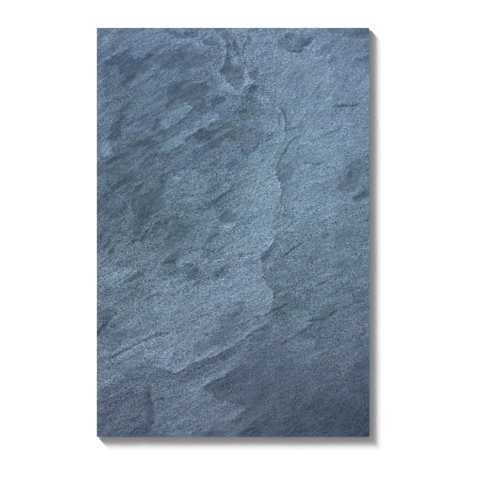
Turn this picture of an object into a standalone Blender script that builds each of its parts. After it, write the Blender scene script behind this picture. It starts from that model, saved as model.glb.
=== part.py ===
"""Stone veneer sheet: a thin cleft layer of blue-grey slate on a glass-fibre and resin backing.

Run it with blender --background --python part.py, or from Blender's text editor.
Units are metres. +Z points out of the cleft face, +Y runs along the sheet's length, and
the origin is on the underside, below the middle of the sheet. Outlines are given as
(x, y) from the sheet's lower left corner.
"""

from math import radians

import bmesh
import bpy
from mathutils import Matrix, Vector, noise

# Driving dimensions of the finished sheet.
SHEET_WIDTH = 0.400
SHEET_LENGTH = 0.600
BACKING_THICKNESS = 0.0008
BOND_LINE = 0.0003
FLOOR_LAYER = 0.0008
MIDDLE_LAYER_RISE = 0.0003
TOP_LAYER_RISE = 0.0007
POCKET_DEPTH = 0.00025

# The slab is split oversize, and then sawn to the sheet's outline. Cutters reach
# REACH past whatever they cut.
SAW_MARGIN = 0.015
CELL = 0.0125
STONE_BOTTOM = BACKING_THICKNESS + BOND_LINE
REACH = 0.010

# The cleft face rolls gently, in swells drawn out along the lineation.
SWELL_HEIGHT = 0.00012
SWELL_LENGTH = 0.130
SWELL_WIDTH = 0.055
LINEATION_DEGREES = 30.0

STONE_COLOUR = (0.137, 0.197, 0.270, 1.0)
BACKING_COLOUR = (0.300, 0.290, 0.245, 1.0)

# The top layer's broken edge, from the sheet's top edge round to its left edge.
TOP_LAYER = [
    (0.184, 0.615), (0.187, 0.598), (0.197, 0.578), (0.196, 0.560), (0.181, 0.540),
    (0.197, 0.519), (0.211, 0.505), (0.238, 0.505), (0.257, 0.500), (0.266, 0.485),
    (0.277, 0.464), (0.277, 0.441), (0.265, 0.422), (0.262, 0.400), (0.266, 0.384),
    (0.273, 0.370), (0.272, 0.357), (0.264, 0.340), (0.257, 0.313), (0.262, 0.298),
    (0.256, 0.284), (0.240, 0.263), (0.244, 0.236), (0.262, 0.207), (0.257, 0.186),
    (0.240, 0.163), (0.214, 0.142), (0.176, 0.121), (0.142, 0.108), (0.118, 0.094),
    (0.070, 0.104), (0.030, 0.098), (-0.015, 0.076), (-0.015, 0.615),
]

# The middle layer reaches out from under the top one along the lower left of the sheet.
MIDDLE_LAYER = [
    (0.330, 0.222), (0.266, 0.181), (0.249, 0.143), (0.212, 0.112), (0.192, 0.093),
    (0.160, 0.077), (0.158, 0.071), (0.178, 0.053), (0.204, 0.048), (0.223, 0.045),
    (0.203, 0.029), (0.204, 0.018), (0.188, -0.015), (-0.015, -0.015), (-0.015, 0.200),
    (0.200, 0.222),
]

# A flake has come away here, at the upper right.
POCKET = [
    (0.268, 0.584), (0.276, 0.572), (0.286, 0.565), (0.301, 0.564), (0.309, 0.574),
    (0.322, 0.589), (0.306, 0.597), (0.282, 0.596),
]


def clear_scene():
    for thing in list(bpy.data.objects):
        bpy.data.objects.remove(thing)


def new_collection(name):
    collection = bpy.data.collections.new(name)
    bpy.context.scene.collection.children.link(collection)
    return collection


def new_material(name, colour, roughness):
    material = bpy.data.materials.new(name)
    material.use_nodes = True
    shader = material.node_tree.nodes["Principled BSDF"]
    shader.inputs["Base Color"].default_value = colour
    shader.inputs["Roughness"].default_value = roughness
    shader.inputs["Metallic"].default_value = 0.0
    return material


def swell(x, y):
    """Height of the rolling cleft face above its mean, from two octaves of smooth noise."""
    along = Matrix.Rotation(-radians(LINEATION_DEGREES), 2) @ Vector((x, y))
    broad = noise.noise(Vector((along.x / SWELL_LENGTH, along.y / SWELL_WIDTH, 3.0)))
    fine = noise.noise(Vector((2.3 * along.x / SWELL_LENGTH, 2.3 * along.y / SWELL_WIDTH, 8.0)))
    return SWELL_HEIGHT * (broad + 0.5 * fine)


def cleft_slab(name, top, collection):
    """An oversize slab with a flat underside at the bond line and a rolling top."""
    width = SHEET_WIDTH + 2 * SAW_MARGIN
    length = SHEET_LENGTH + 2 * SAW_MARGIN
    form = bmesh.new()
    bmesh.ops.create_grid(
        form,
        x_segments=round(width / CELL),
        y_segments=round(length / CELL),
        size=0.5,
        matrix=Matrix.Diagonal((width, length, 1.0, 1.0)),
    )
    extruded = bmesh.ops.extrude_face_region(form, geom=form.faces[:])["geom"]
    raised = [item for item in extruded if isinstance(item, bmesh.types.BMVert)]
    for vertex in form.verts:
        vertex.co.z = STONE_BOTTOM
    for vertex in raised:
        vertex.co.z = STONE_BOTTOM + top + swell(vertex.co.x, vertex.co.y)
    bmesh.ops.recalc_face_normals(form, faces=form.faces)
    mesh = bpy.data.meshes.new(name)
    form.to_mesh(mesh)
    form.free()
    slab = bpy.data.objects.new(name, mesh)
    collection.objects.link(slab)
    return slab


def outline_block(name, outline, low, high, collection):
    """A straight-sided block with a flat outline, from low to high."""
    curve = bpy.data.curves.new(name, "CURVE")
    curve.dimensions = "2D"
    curve.fill_mode = "BOTH"
    curve.extrude = (high - low) / 2
    spline = curve.splines.new("POLY")
    spline.points.add(len(outline) - 1)
    for point, (x, y) in zip(spline.points, outline):
        point.co = (x - SHEET_WIDTH / 2, y - SHEET_LENGTH / 2, 0.0, 1.0)
    spline.use_cyclic_u = True
    guide = bpy.data.objects.new(name + "_outline", curve)
    guide.location.z = (low + high) / 2
    collection.objects.link(guide)
    bpy.context.view_layer.update()
    graph = bpy.context.evaluated_depsgraph_get()
    mesh = bpy.data.meshes.new_from_object(guide.evaluated_get(graph))
    form = bmesh.new()
    form.from_mesh(mesh)
    bmesh.ops.remove_doubles(form, verts=form.verts, dist=1e-6)
    bmesh.ops.recalc_face_normals(form, faces=form.faces)
    form.to_mesh(mesh)
    form.free()
    block = bpy.data.objects.new(name, mesh)
    block.matrix_world = guide.matrix_world
    collection.objects.link(block)
    bpy.data.objects.remove(guide)
    return block


def box_block(name, size, centre, collection):
    bpy.ops.mesh.primitive_cube_add(size=1.0)
    block = bpy.context.active_object
    block.name = name
    block.data.transform(Matrix.Diagonal((*size, 1.0)))
    block.location = centre
    for home in list(block.users_collection):
        home.objects.unlink(block)
    collection.objects.link(block)
    return block


def boolean(target, operation, other):
    modifier = target.modifiers.new(operation.title() + "_" + other.name, "BOOLEAN")
    modifier.operation = operation
    modifier.solver = "EXACT"
    modifier.object = other


def hide_helper(helper):
    helper.hide_render = True
    helper.display_type = "WIRE"


def cleft_layer(name, outline, top, helpers):
    """One sheet of the stone, standing on the layers below and broken along its outline."""
    layer = cleft_slab(name, top, helpers)
    outer = outline_block(name + "_edge", outline, -REACH, REACH, helpers)
    boolean(layer, "INTERSECT", outer)
    hide_helper(outer)
    hide_helper(layer)
    return layer


def build_stone(parts, helpers):
    """The cleft stone layer: a floor layer with two broken layers on it, sawn to size."""
    stone = cleft_slab("slate_layer", FLOOR_LAYER, parts)
    middle_top = FLOOR_LAYER + MIDDLE_LAYER_RISE
    boolean(stone, "UNION", cleft_layer("middle_layer", MIDDLE_LAYER, middle_top, helpers))
    full_top = FLOOR_LAYER + TOP_LAYER_RISE
    boolean(stone, "UNION", cleft_layer("top_layer", TOP_LAYER, full_top, helpers))
    pocket_floor = STONE_BOTTOM + FLOOR_LAYER - POCKET_DEPTH
    pocket = outline_block("pocket", POCKET, pocket_floor, pocket_floor + REACH, helpers)
    boolean(stone, "DIFFERENCE", pocket)
    hide_helper(pocket)
    saw = box_block("saw_outline", (SHEET_WIDTH, SHEET_LENGTH, 2 * REACH), (0, 0, 0), helpers)
    boolean(stone, "INTERSECT", saw)
    hide_helper(saw)
    stone.data.materials.append(new_material("slate", STONE_COLOUR, 0.62))
    return stone


def build_backing(parts):
    """The flat glass-fibre and resin backing that carries the stone."""
    size = (SHEET_WIDTH, SHEET_LENGTH, BACKING_THICKNESS)
    backing = box_block("glass_fibre_backing", size, (0, 0, BACKING_THICKNESS / 2), parts)
    backing.data.materials.append(new_material("fibre_resin", BACKING_COLOUR, 0.38))
    return backing


clear_scene()
sheet_parts = new_collection("stone_veneer_sheet")
cutters = new_collection("cutters")
build_stone(sheet_parts, cutters)
build_backing(sheet_parts)
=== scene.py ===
# %% [markdown]
# # A sheet of stone veneer
#
# Stone veneer is slate or schist split so thin that it bends. Glass cloth is glued to a
# slab with resin, and is then peeled away with a skin of stone still on it. The face keeps
# everything that the split did: ledges where one leaf of the rock tore and the next one
# took over, hollows where a flake came off, and a grain that runs aslant.
#
# The lesson works that face out once, as fields of numbers over a fine grid. The same
# fields then raise the mesh and tint the stone, so that relief and colour always agree.

# %% Load the frame
import math

import bmesh
import bpy
import numpy as np
from mathutils import Matrix, Vector, noise


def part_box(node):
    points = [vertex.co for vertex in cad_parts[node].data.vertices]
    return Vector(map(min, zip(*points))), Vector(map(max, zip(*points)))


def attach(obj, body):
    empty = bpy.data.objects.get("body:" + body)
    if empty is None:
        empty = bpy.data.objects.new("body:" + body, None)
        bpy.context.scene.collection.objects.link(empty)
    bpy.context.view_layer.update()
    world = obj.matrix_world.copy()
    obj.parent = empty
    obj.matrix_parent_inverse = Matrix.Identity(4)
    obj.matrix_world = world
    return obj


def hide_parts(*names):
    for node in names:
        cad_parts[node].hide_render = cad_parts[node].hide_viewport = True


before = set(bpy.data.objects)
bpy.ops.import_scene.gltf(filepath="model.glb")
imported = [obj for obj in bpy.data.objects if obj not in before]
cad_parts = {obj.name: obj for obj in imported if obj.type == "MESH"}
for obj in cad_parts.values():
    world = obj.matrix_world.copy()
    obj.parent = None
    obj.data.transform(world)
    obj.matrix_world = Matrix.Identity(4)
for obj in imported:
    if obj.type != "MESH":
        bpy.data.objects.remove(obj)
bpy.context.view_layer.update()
stone_low, stone_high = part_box("slate_layer")
backing_low, backing_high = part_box("glass_fibre_backing")
MM = 0.001
WIDTH = round((stone_high.x - stone_low.x) / MM)
LENGTH = round((stone_high.y - stone_low.y) / MM)
print("sheet", WIDTH, "x", LENGTH, "mm")

# %% [markdown]
# ## Where the leaves of stone end
#
# Slate is a stack of leaves, and the face shows several of them at once. A ledge is the torn
# edge of one: the lip is bruised pale, and the foot below it is dark with dust and painted shadow.
# They could be left to a noise texture, but a chance pattern never has the one long broken
# edge that gives a real sheet its look. So the main ledges are drawn, and noise frays them.
#
# Each is a chain of points in millimetres from the sheet's lower left corner, with the
# ledge's strength there from 0 to 1. The higher stone is on the left as one walks along it.

# %% The ledges: lip and foot in doublings of brightness, step in millimetres, then the chain
LEDGES = [
    (0.42, -0.46, 0.13, [
        (24, 93, 0.0), (45, 98, 0.4), (60, 101, 0.4), (75, 104, 0.4), (88, 103, 0.5),
        (97, 100, 0.7), (105, 96, 0.8), (113, 95, 0.9), (119, 94, 0.9), (126, 99, 0.8),
        (133, 104, 0.9), (141, 108, 1.0), (152, 111, 1.0), (163, 115, 1.0), (172, 118, 1.0),
        (181, 121, 1.0), (190, 127, 1.0), (200, 133, 1.0), (208, 138, 1.0), (216, 144, 1.0),
        (223, 150, 0.9), (232, 155, 0.8), (241, 159, 0.9), (250, 166, 0.8), (257, 173, 0.6),
        (262, 180, 0.0),
    ]),
    (0.36, -0.50, 0.13, [
        (196, 158, 0.0), (214, 166, 0.5), (232, 174, 0.6), (243, 178, 0.7), (255, 184, 0.9),
        (257, 191, 1.0), (259, 199, 1.0), (262, 207, 1.0), (258, 213, 1.0), (253, 220, 1.0),
        (247, 227, 1.0), (244, 234, 1.0), (243, 242, 0.9), (244, 252, 0.8), (241, 258, 0.9),
        (240, 264, 1.0), (245, 270, 1.0), (251, 276, 0.9), (257, 283, 0.7), (262, 290, 0.5),
        (264, 297, 0.3), (261, 305, 0.3), (257, 311, 0.5), (260, 318, 0.3), (260, 328, 0.1),
        (263, 338, 0.2), (268, 347, 0.4), (272, 357, 0.8), (271, 366, 0.9), (269, 373, 1.0),
        (266, 379, 1.0), (262, 387, 0.9), (264, 396, 0.4), (268, 405, 0.0),
    ]),
    (0.34, -0.38, 0.11, [
        (258, 431, 0.0), (266, 430, 0.6), (272, 432, 0.8), (275, 439, 0.9), (276, 449, 1.0),
        (277, 458, 1.0), (275, 468, 1.0), (272, 477, 1.0), (268, 484, 0.7), (261, 488, 0.0),
    ]),
    (0.46, -0.40, 0.13, [
        (232, 500, 0.0), (217, 503, 0.5), (210, 506, 0.8), (203, 510, 1.0), (196, 515, 1.0),
        (190, 521, 1.0), (184, 528, 1.0), (181, 535, 1.0), (183, 541, 1.0), (188, 547, 1.0),
        (190, 553, 1.0), (189, 562, 0.9), (191, 571, 0.8), (187, 580, 0.8), (181, 588, 0.7),
        (174, 596, 0.5), (168, 604, 0.3),
    ]),
    (0.28, -0.30, 0.10, [
        (157, 69, 0.7), (163, 78, 1.0), (172, 82, 1.0), (182, 86, 1.0), (190, 90, 1.0), (198, 97, 0.9),
        (205, 103, 0.6), (215, 108, 0.3), (228, 118, 0.0),
    ]),
    (0.14, -0.20, 0.08, [
        (226, 47, 0.3), (214, 46, 0.8), (204, 48, 0.9), (192, 51, 1.0), (182, 50, 1.0), (177, 56, 1.0),
        (170, 62, 1.0), (162, 66, 1.0), (157, 69, 0.6),
    ]),
    (0.32, -0.28, 0.08, [
        (186, 10, 0.0), (190, 17, 0.5), (196, 21, 0.7), (203, 25, 0.8), (208, 32, 1.0), (216, 40, 1.0),
        (227, 46, 0.2),
    ]),
    (0.24, -0.56, 0.10, [
        (76, 77, 0.3), (81, 68, 0.8), (81, 57, 0.8), (84, 46, 1.0), (85, 34, 1.0), (85, 24, 1.0),
        (82, 14, 0.8), (77, 6, 0.2),
    ]),
    (0.34, -0.42, 0.07, [
        (-2, 541, 0.5), (10, 549, 0.9), (20, 554, 1.0), (30, 560, 1.0), (40, 567, 0.9), (50, 573, 0.0),
    ]),
    (0.04, -0.16, 0.05, [
        (262, 570, 0.2), (264, 580, 0.5), (272, 590, 0.6), (288, 593, 0.7), (304, 588, 0.5),
        (315, 590, 0.7), (320, 586, 1.0), (313, 576, 1.0), (304, 565, 1.0), (298, 561, 1.0),
        (288, 564, 0.9), (280, 564, 0.7), (270, 570, 0.3),
    ]),
    (0.18, -0.30, 0.06, [
        (240, 434, 0.3), (237, 425, 0.9), (230, 418, 1.0), (222, 414, 1.0), (214, 416, 1.0),
        (210, 425, 0.7), (208, 436, 0.0),
    ]),
    (0.26, -0.36, 0.07, [
        (70, 296, 0.5), (74, 303, 0.9), (77, 312, 1.0), (80, 320, 1.0), (88, 325, 0.9), (96, 328, 0.7),
        (104, 326, 0.2),
    ]),
    (0.26, -0.12, 0.07, [
        (168, 338, 0.2), (178, 350, 0.8), (186, 358, 1.0), (193, 364, 1.0), (199, 372, 0.7),
        (204, 382, 0.0),
    ]),
    (0.24, -0.30, 0.05, [
        (92, 452, 0.3), (102, 451, 0.7), (113, 457, 1.0), (124, 464, 1.0), (134, 472, 1.0),
        (143, 482, 0.4),
    ]),
    (0.24, -0.26, 0.05, [
        (92, 415, 0.3), (103, 415, 0.7), (114, 421, 0.9), (126, 430, 0.8), (135, 439, 0.6),
        (142, 444, 0.5), (152, 451, 0.5), (164, 457, 0.6), (176, 462, 0.3),
    ]),
]
print(len(LEDGES), "ledges,", sum(len(ledge[-1]) for ledge in LEDGES), "points")

# %% [markdown]
# ## Flakes, hollows and stains
#
# Between the ledges the leaves are nibbled by hundreds of small flakes. The larger ones are
# drawn as outlines. Each is a kind of surface, how far it lightens or darkens the stone in
# doublings of brightness, and its points in millimetres. The kinds say what bared stone is
# like: a fresh hollow is smooth and brown or olive, a scale is pale and a little green, and
# a place where many flakes broke away is pitted.

# %% Kinds of bared stone: change of coarseness, and shifts towards red and blue
KINDS = {
    "plain": (0.0, 0.0, 0.0),
    "brown": (-0.50, 0.09, -0.03),
    "olive": (-0.40, -0.03, -0.08),
    "violet": (-0.30, 0.05, 0.02),
    "teal": (0.0, -0.06, -0.03),
    "pitted": (0.50, 0.0, -0.03),
}
print(len(KINDS), "kinds of bared stone")

# %% Patches along the top edge: kind, doublings of brightness, outline
PATCHES = [
    ("brown", -0.50, [
        (99, 600), (103, 593), (112, 588), (117, 584), (125, 585), (123, 590), (111, 594),
        (106, 600),
    ]),
    ("plain", -0.30, [(126, 590), (140, 593), (151, 591), (151, 584), (138, 584), (128, 585)]),
    ("violet", -0.30, [(366, 586), (378, 594), (404, 598), (404, 584), (384, 582)]),
    ("plain", -0.30, [(330, 604), (345, 592), (368, 588), (385, 586), (404, 592), (404, 604)]),
    ("violet", -0.28, [(325, 563), (335, 575), (352, 588), (352, 576), (342, 562), (334, 556)]),
]
print(len(PATCHES), "patches so far")

# %% Patches: the groove at the top middle, and what lies round it
PATCHES += [
    ("brown", -0.55, [
        (181, 537), (186, 543), (190, 549), (193, 556), (197, 556), (198, 548), (200, 543),
        (205, 541), (210, 543), (214, 540), (217, 535), (216, 530), (210, 529), (200, 530),
        (192, 530), (186, 532),
    ]),
    ("pitted", -0.38, [
        (190, 549), (191, 560), (190, 570), (193, 577), (197, 574), (198, 565), (197, 556),
    ]),
    ("brown", -0.30, [
        (172, 604), (186, 593), (193, 585), (198, 578), (200, 570), (203, 562), (207, 559),
        (209, 565), (208, 574), (204, 582), (197, 591), (186, 600), (184, 604),
    ]),
    ("pitted", -0.40, [
        (200, 570), (203, 562), (207, 559), (209, 565), (208, 574), (204, 582), (199, 580),
    ]),
    ("teal", 0.40, [(200, 545), (198, 552), (202, 559), (208, 561), (209, 552), (207, 546)]),
    ("teal", 0.30, [(209, 562), (213, 562), (214, 576), (210, 577)]),
    ("teal", -0.22, [
        (192, 528), (200, 530), (210, 529), (215, 527), (216, 519), (212, 512), (206, 511),
        (199, 513), (194, 520),
    ]),
    ("plain", 0.55, [
        (216, 527), (216, 533), (219, 537), (223, 531), (225, 525), (231, 523), (229, 518),
        (223, 518), (218, 513), (213, 506), (208, 503), (204, 507), (211, 512), (216, 519),
    ]),
    ("violet", -0.34, [
        (224, 526), (222, 532), (227, 540), (236, 543), (238, 533), (235, 526), (230, 524),
    ]),
    ("pitted", -0.75, [(221, 505), (224, 511), (229, 517), (236, 514), (236, 506), (229, 501)]),
    ("pitted", -0.60, [
        (210, 502), (216, 500), (226, 499), (235, 497), (233, 491), (224, 489), (217, 493),
        (213, 497),
    ]),
    ("pitted", -0.28, [(200, 474), (214, 492), (228, 488), (236, 480), (224, 472), (212, 470)]),
    ("plain", -0.46, [(214, 568), (218, 578), (222, 588), (228, 590), (227, 578), (221, 570)]),
    ("olive", -0.26, [
        (152, 588), (158, 588), (166, 581), (178, 582), (185, 578), (181, 572), (168, 571),
        (157, 578),
    ]),
    ("plain", 0.18, [
        (168, 545), (181, 543), (183, 532), (190, 524), (196, 514), (206, 507), (208, 500),
        (196, 503), (184, 508), (176, 520), (170, 530),
    ]),
    ("teal", 0.28, [(236, 492), (238, 502), (252, 500), (258, 490), (250, 485)]),
    ("teal", 0.28, [(246, 508), (250, 520), (264, 520), (266, 510), (256, 505)]),
]
print(len(PATCHES), "patches so far")

# %% Patches at the upper left
PATCHES += [
    ("violet", -0.52, [
        (30, 545), (33, 538), (32, 528), (33, 518), (40, 513), (48, 519), (55, 523), (60, 530),
        (66, 531), (73, 536), (79, 541), (72, 550), (67, 556), (56, 556), (46, 562), (38, 561),
        (30, 556), (22, 552), (12, 548), (20, 543),
    ]),
    ("violet", -0.10, [
        (33, 518), (40, 513), (50, 519), (60, 530), (68, 532), (78, 538), (70, 548), (56, 548),
        (44, 540), (34, 532),
    ]),
    ("brown", -0.45, [(71, 556), (76, 562), (84, 562), (87, 555), (80, 551), (73, 552)]),
    ("brown", -0.38, [
        (85, 560), (100, 561), (115, 567), (130, 568), (150, 563), (166, 556), (170, 550),
        (160, 545), (145, 541), (130, 543), (118, 546), (106, 541), (98, 540), (88, 545), (84, 552),
    ]),
    ("plain", 0.22, [
        (46, 511), (52, 518), (60, 526), (70, 533), (82, 541), (92, 545), (84, 535), (76, 527),
        (64, 520), (56, 514),
    ]),
    ("teal", 0.18, [
        (91, 515), (95, 523), (105, 527), (118, 533), (122, 526), (110, 520), (100, 513),
    ]),
    ("brown", -0.42, [
        (103, 505), (108, 514), (118, 522), (132, 523), (146, 518), (160, 520), (166, 512),
        (164, 503), (158, 497), (163, 490), (158, 482), (146, 478), (140, 484), (134, 489),
        (126, 497), (116, 496), (112, 488), (104, 480), (98, 482), (106, 492),
    ]),
    ("teal", 0.42, [
        (94, 454), (97, 463), (103, 471), (110, 479), (114, 484), (124, 487), (134, 488),
        (142, 483), (136, 475), (127, 468), (120, 462), (110, 457), (101, 452),
    ]),
    ("teal", 0.42, [
        (94, 418), (98, 427), (104, 434), (113, 440), (123, 446), (133, 451), (141, 456),
        (150, 463), (158, 471), (166, 476), (176, 474), (181, 468), (172, 461), (160, 455),
        (150, 451), (143, 446), (133, 440), (126, 432), (120, 426), (110, 419), (102, 416),
    ]),
    ("brown", -0.42, [
        (141, 441), (148, 447), (153, 450), (160, 449), (170, 450), (180, 452), (188, 457),
        (195, 461), (205, 457), (207, 450), (203, 444), (207, 438), (202, 431), (196, 433),
        (191, 438), (185, 440), (180, 435), (176, 430), (170, 423), (165, 422), (168, 430),
        (160, 434), (152, 436),
    ]),
    ("plain", -0.38, [
        (17, 437), (18, 450), (24, 462), (30, 474), (38, 480), (40, 468), (37, 455), (38, 443),
        (32, 434), (24, 431),
    ]),
    ("teal", 0.45, [(3, 420), (8, 431), (14, 434), (22, 425), (20, 413), (12, 410)]),
    ("plain", -0.22, [(10, 399), (20, 408), (34, 414), (47, 418), (49, 412), (38, 406), (24, 401)]),
    ("violet", -0.20, [
        (43, 431), (56, 431), (68, 437), (78, 441), (85, 434), (80, 426), (64, 425), (48, 424),
    ]),
    ("plain", -0.24, [
        (20, 364), (30, 373), (40, 379), (52, 385), (64, 386), (58, 377), (44, 370), (34, 367),
        (26, 361),
    ]),
    ("olive", -0.38, [(55, 358), (57, 366), (63, 371), (69, 375), (67, 366), (60, 357)]),
    ("plain", 0.16, [(44, 446), (48, 456), (62, 460), (76, 456), (84, 448), (70, 443), (56, 442)]),
]
print(len(PATCHES), "patches so far")

# %% Patches at the middle left
PATCHES += [
    ("olive", -0.30, [
        (50, 340), (56, 350), (68, 356), (78, 362), (88, 368), (97, 379), (101, 370), (99, 357),
        (97, 345), (97, 335), (92, 328), (81, 325), (77, 318), (74, 311), (68, 305), (61, 302),
        (55, 308), (59, 318), (56, 328),
    ]),
    ("plain", -0.30, [(79, 302), (83, 312), (90, 318), (100, 318), (108, 314), (98, 305), (86, 299)]),
    ("olive", -0.10, [
        (98, 312), (106, 322), (120, 322), (122, 313), (134, 311), (143, 301), (135, 292),
        (128, 285), (119, 278), (118, 270), (108, 264), (104, 276), (100, 288), (99, 300),
    ]),
    ("plain", -0.75, [(94, 252), (103, 263), (111, 268), (119, 272), (121, 257), (108, 251)]),
    ("teal", 0.05, [(68, 262), (70, 280), (74, 298), (92, 296), (102, 280), (100, 262)]),
    ("plain", 0.24, [
        (119, 250), (119, 266), (126, 272), (140, 270), (150, 272), (152, 262), (140, 256),
        (130, 250),
    ]),
    ("plain", 0.20, [
        (99, 350), (104, 362), (110, 373), (116, 385), (126, 393), (140, 395), (156, 389),
        (168, 380), (161, 366), (160, 353), (150, 347), (140, 343), (128, 342), (112, 345),
        (104, 344),
    ]),
    ("teal", -0.12, [
        (104, 342), (112, 344), (128, 341), (140, 341), (150, 338), (140, 330), (126, 330),
        (110, 332),
    ]),
    ("plain", 0.28, [(117, 323), (120, 330), (128, 332), (131, 325), (124, 322)]),
    ("violet", -0.30, [(161, 358), (164, 365), (172, 371), (184, 369), (180, 362), (170, 356)]),
    ("plain", 0.16, [(176, 356), (184, 361), (192, 370), (199, 371), (196, 364), (188, 358)]),
    ("olive", -0.46, [
        (168, 340), (176, 350), (184, 357), (192, 362), (200, 366), (196, 358), (186, 350),
        (178, 339),
    ]),
    ("olive", -0.40, [
        (180, 315), (181, 324), (188, 331), (198, 331), (208, 325), (204, 316), (192, 313),
    ]),
    ("plain", 0.32, [
        (183, 302), (185, 310), (193, 314), (203, 315), (201, 308), (194, 303), (190, 300),
    ]),
    ("plain", 0.08, [
        (156, 300), (158, 312), (166, 322), (174, 328), (182, 322), (178, 308), (170, 300),
    ]),
    ("olive", -0.50, [
        (159, 285), (163, 292), (172, 298), (181, 301), (183, 296), (176, 290), (167, 285),
    ]),
    ("plain", 0.22, [(170, 280), (178, 288), (188, 294), (190, 286), (180, 279)]),
    ("teal", -0.20, [(154, 262), (156, 274), (168, 278), (174, 270), (166, 262)]),
    ("pitted", -0.46, [
        (129, 236), (133, 244), (144, 248), (153, 244), (161, 236), (150, 229), (140, 229),
    ]),
    ("pitted", -0.42, [(167, 232), (172, 240), (182, 244), (188, 252), (192, 244), (182, 234)]),
    ("teal", 0.20, [
        (76, 196), (82, 204), (92, 205), (104, 200), (117, 196), (119, 186), (100, 179), (85, 186),
    ]),
    ("plain", 0.18, [(94, 208), (98, 222), (108, 228), (112, 216), (104, 207)]),
    ("plain", 0.22, [(22, 232), (32, 250), (52, 254), (66, 246), (56, 240), (40, 236)]),
]
print(len(PATCHES), "patches so far")

# %% Patches at the lower left
PATCHES += [
    ("pitted", -0.28, [
        (100, 93), (112, 91), (120, 91), (128, 97), (140, 106), (150, 109), (162, 113), (172, 116),
        (184, 120), (194, 128), (206, 136), (214, 140), (222, 142), (214, 130), (204, 121),
        (190, 115), (180, 108), (168, 99), (158, 93), (146, 87), (130, 82), (118, 84), (104, 84),
    ]),
    ("plain", 0.30, [
        (120, 77), (130, 80), (146, 84), (158, 91), (170, 98), (180, 106), (194, 114), (206, 121),
        (213, 116), (206, 107), (198, 98), (190, 91), (180, 86), (168, 81), (161, 76), (150, 69),
        (136, 67), (124, 69),
    ]),
    ("plain", -0.24, [
        (157, 71), (164, 79), (174, 84), (186, 88), (196, 95), (210, 104), (226, 98), (222, 80),
        (210, 66), (200, 56), (188, 52), (178, 57), (168, 63),
    ]),
    ("brown", -0.10, [(163, 73), (172, 80), (186, 80), (187, 72), (178, 66), (168, 67)]),
    ("plain", -0.45, [(208, -4), (212, 6), (222, 12), (236, 16), (244, 6), (240, -4)]),
    ("brown", -0.12, [(160, -4), (164, 10), (172, 22), (184, 24), (190, 10), (188, -4)]),
    ("plain", 0.16, [
        (190, 24), (195, 38), (204, 40), (214, 45), (226, 46), (218, 41), (210, 35), (205, 29),
        (198, 24),
    ]),
    ("plain", -0.30, [(196, 18), (204, 24), (212, 29), (214, 22), (206, 16)]),
    ("plain", -0.34, [
        (69, 74), (75, 76), (80, 70), (80, 58), (83, 47), (84, 36), (84, 23), (80, 12), (73, 9),
        (72, 20), (74, 34), (72, 48), (73, 60),
    ]),
    ("plain", -0.22, [(46, -4), (52, 8), (62, 18), (72, 20), (78, 8), (76, -4)]),
    ("plain", 0.26, [(2, 62), (8, 76), (22, 88), (36, 91), (42, 86), (28, 81), (16, 72), (9, 62)]),
    ("olive", -0.26, [
        (139, 122), (141, 132), (148, 139), (158, 138), (162, 130), (154, 121), (146, 118),
    ]),
    ("olive", -0.22, [
        (162, 138), (170, 148), (186, 155), (200, 163), (208, 153), (197, 142), (180, 134),
    ]),
]
print(len(PATCHES), "patches so far")

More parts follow.
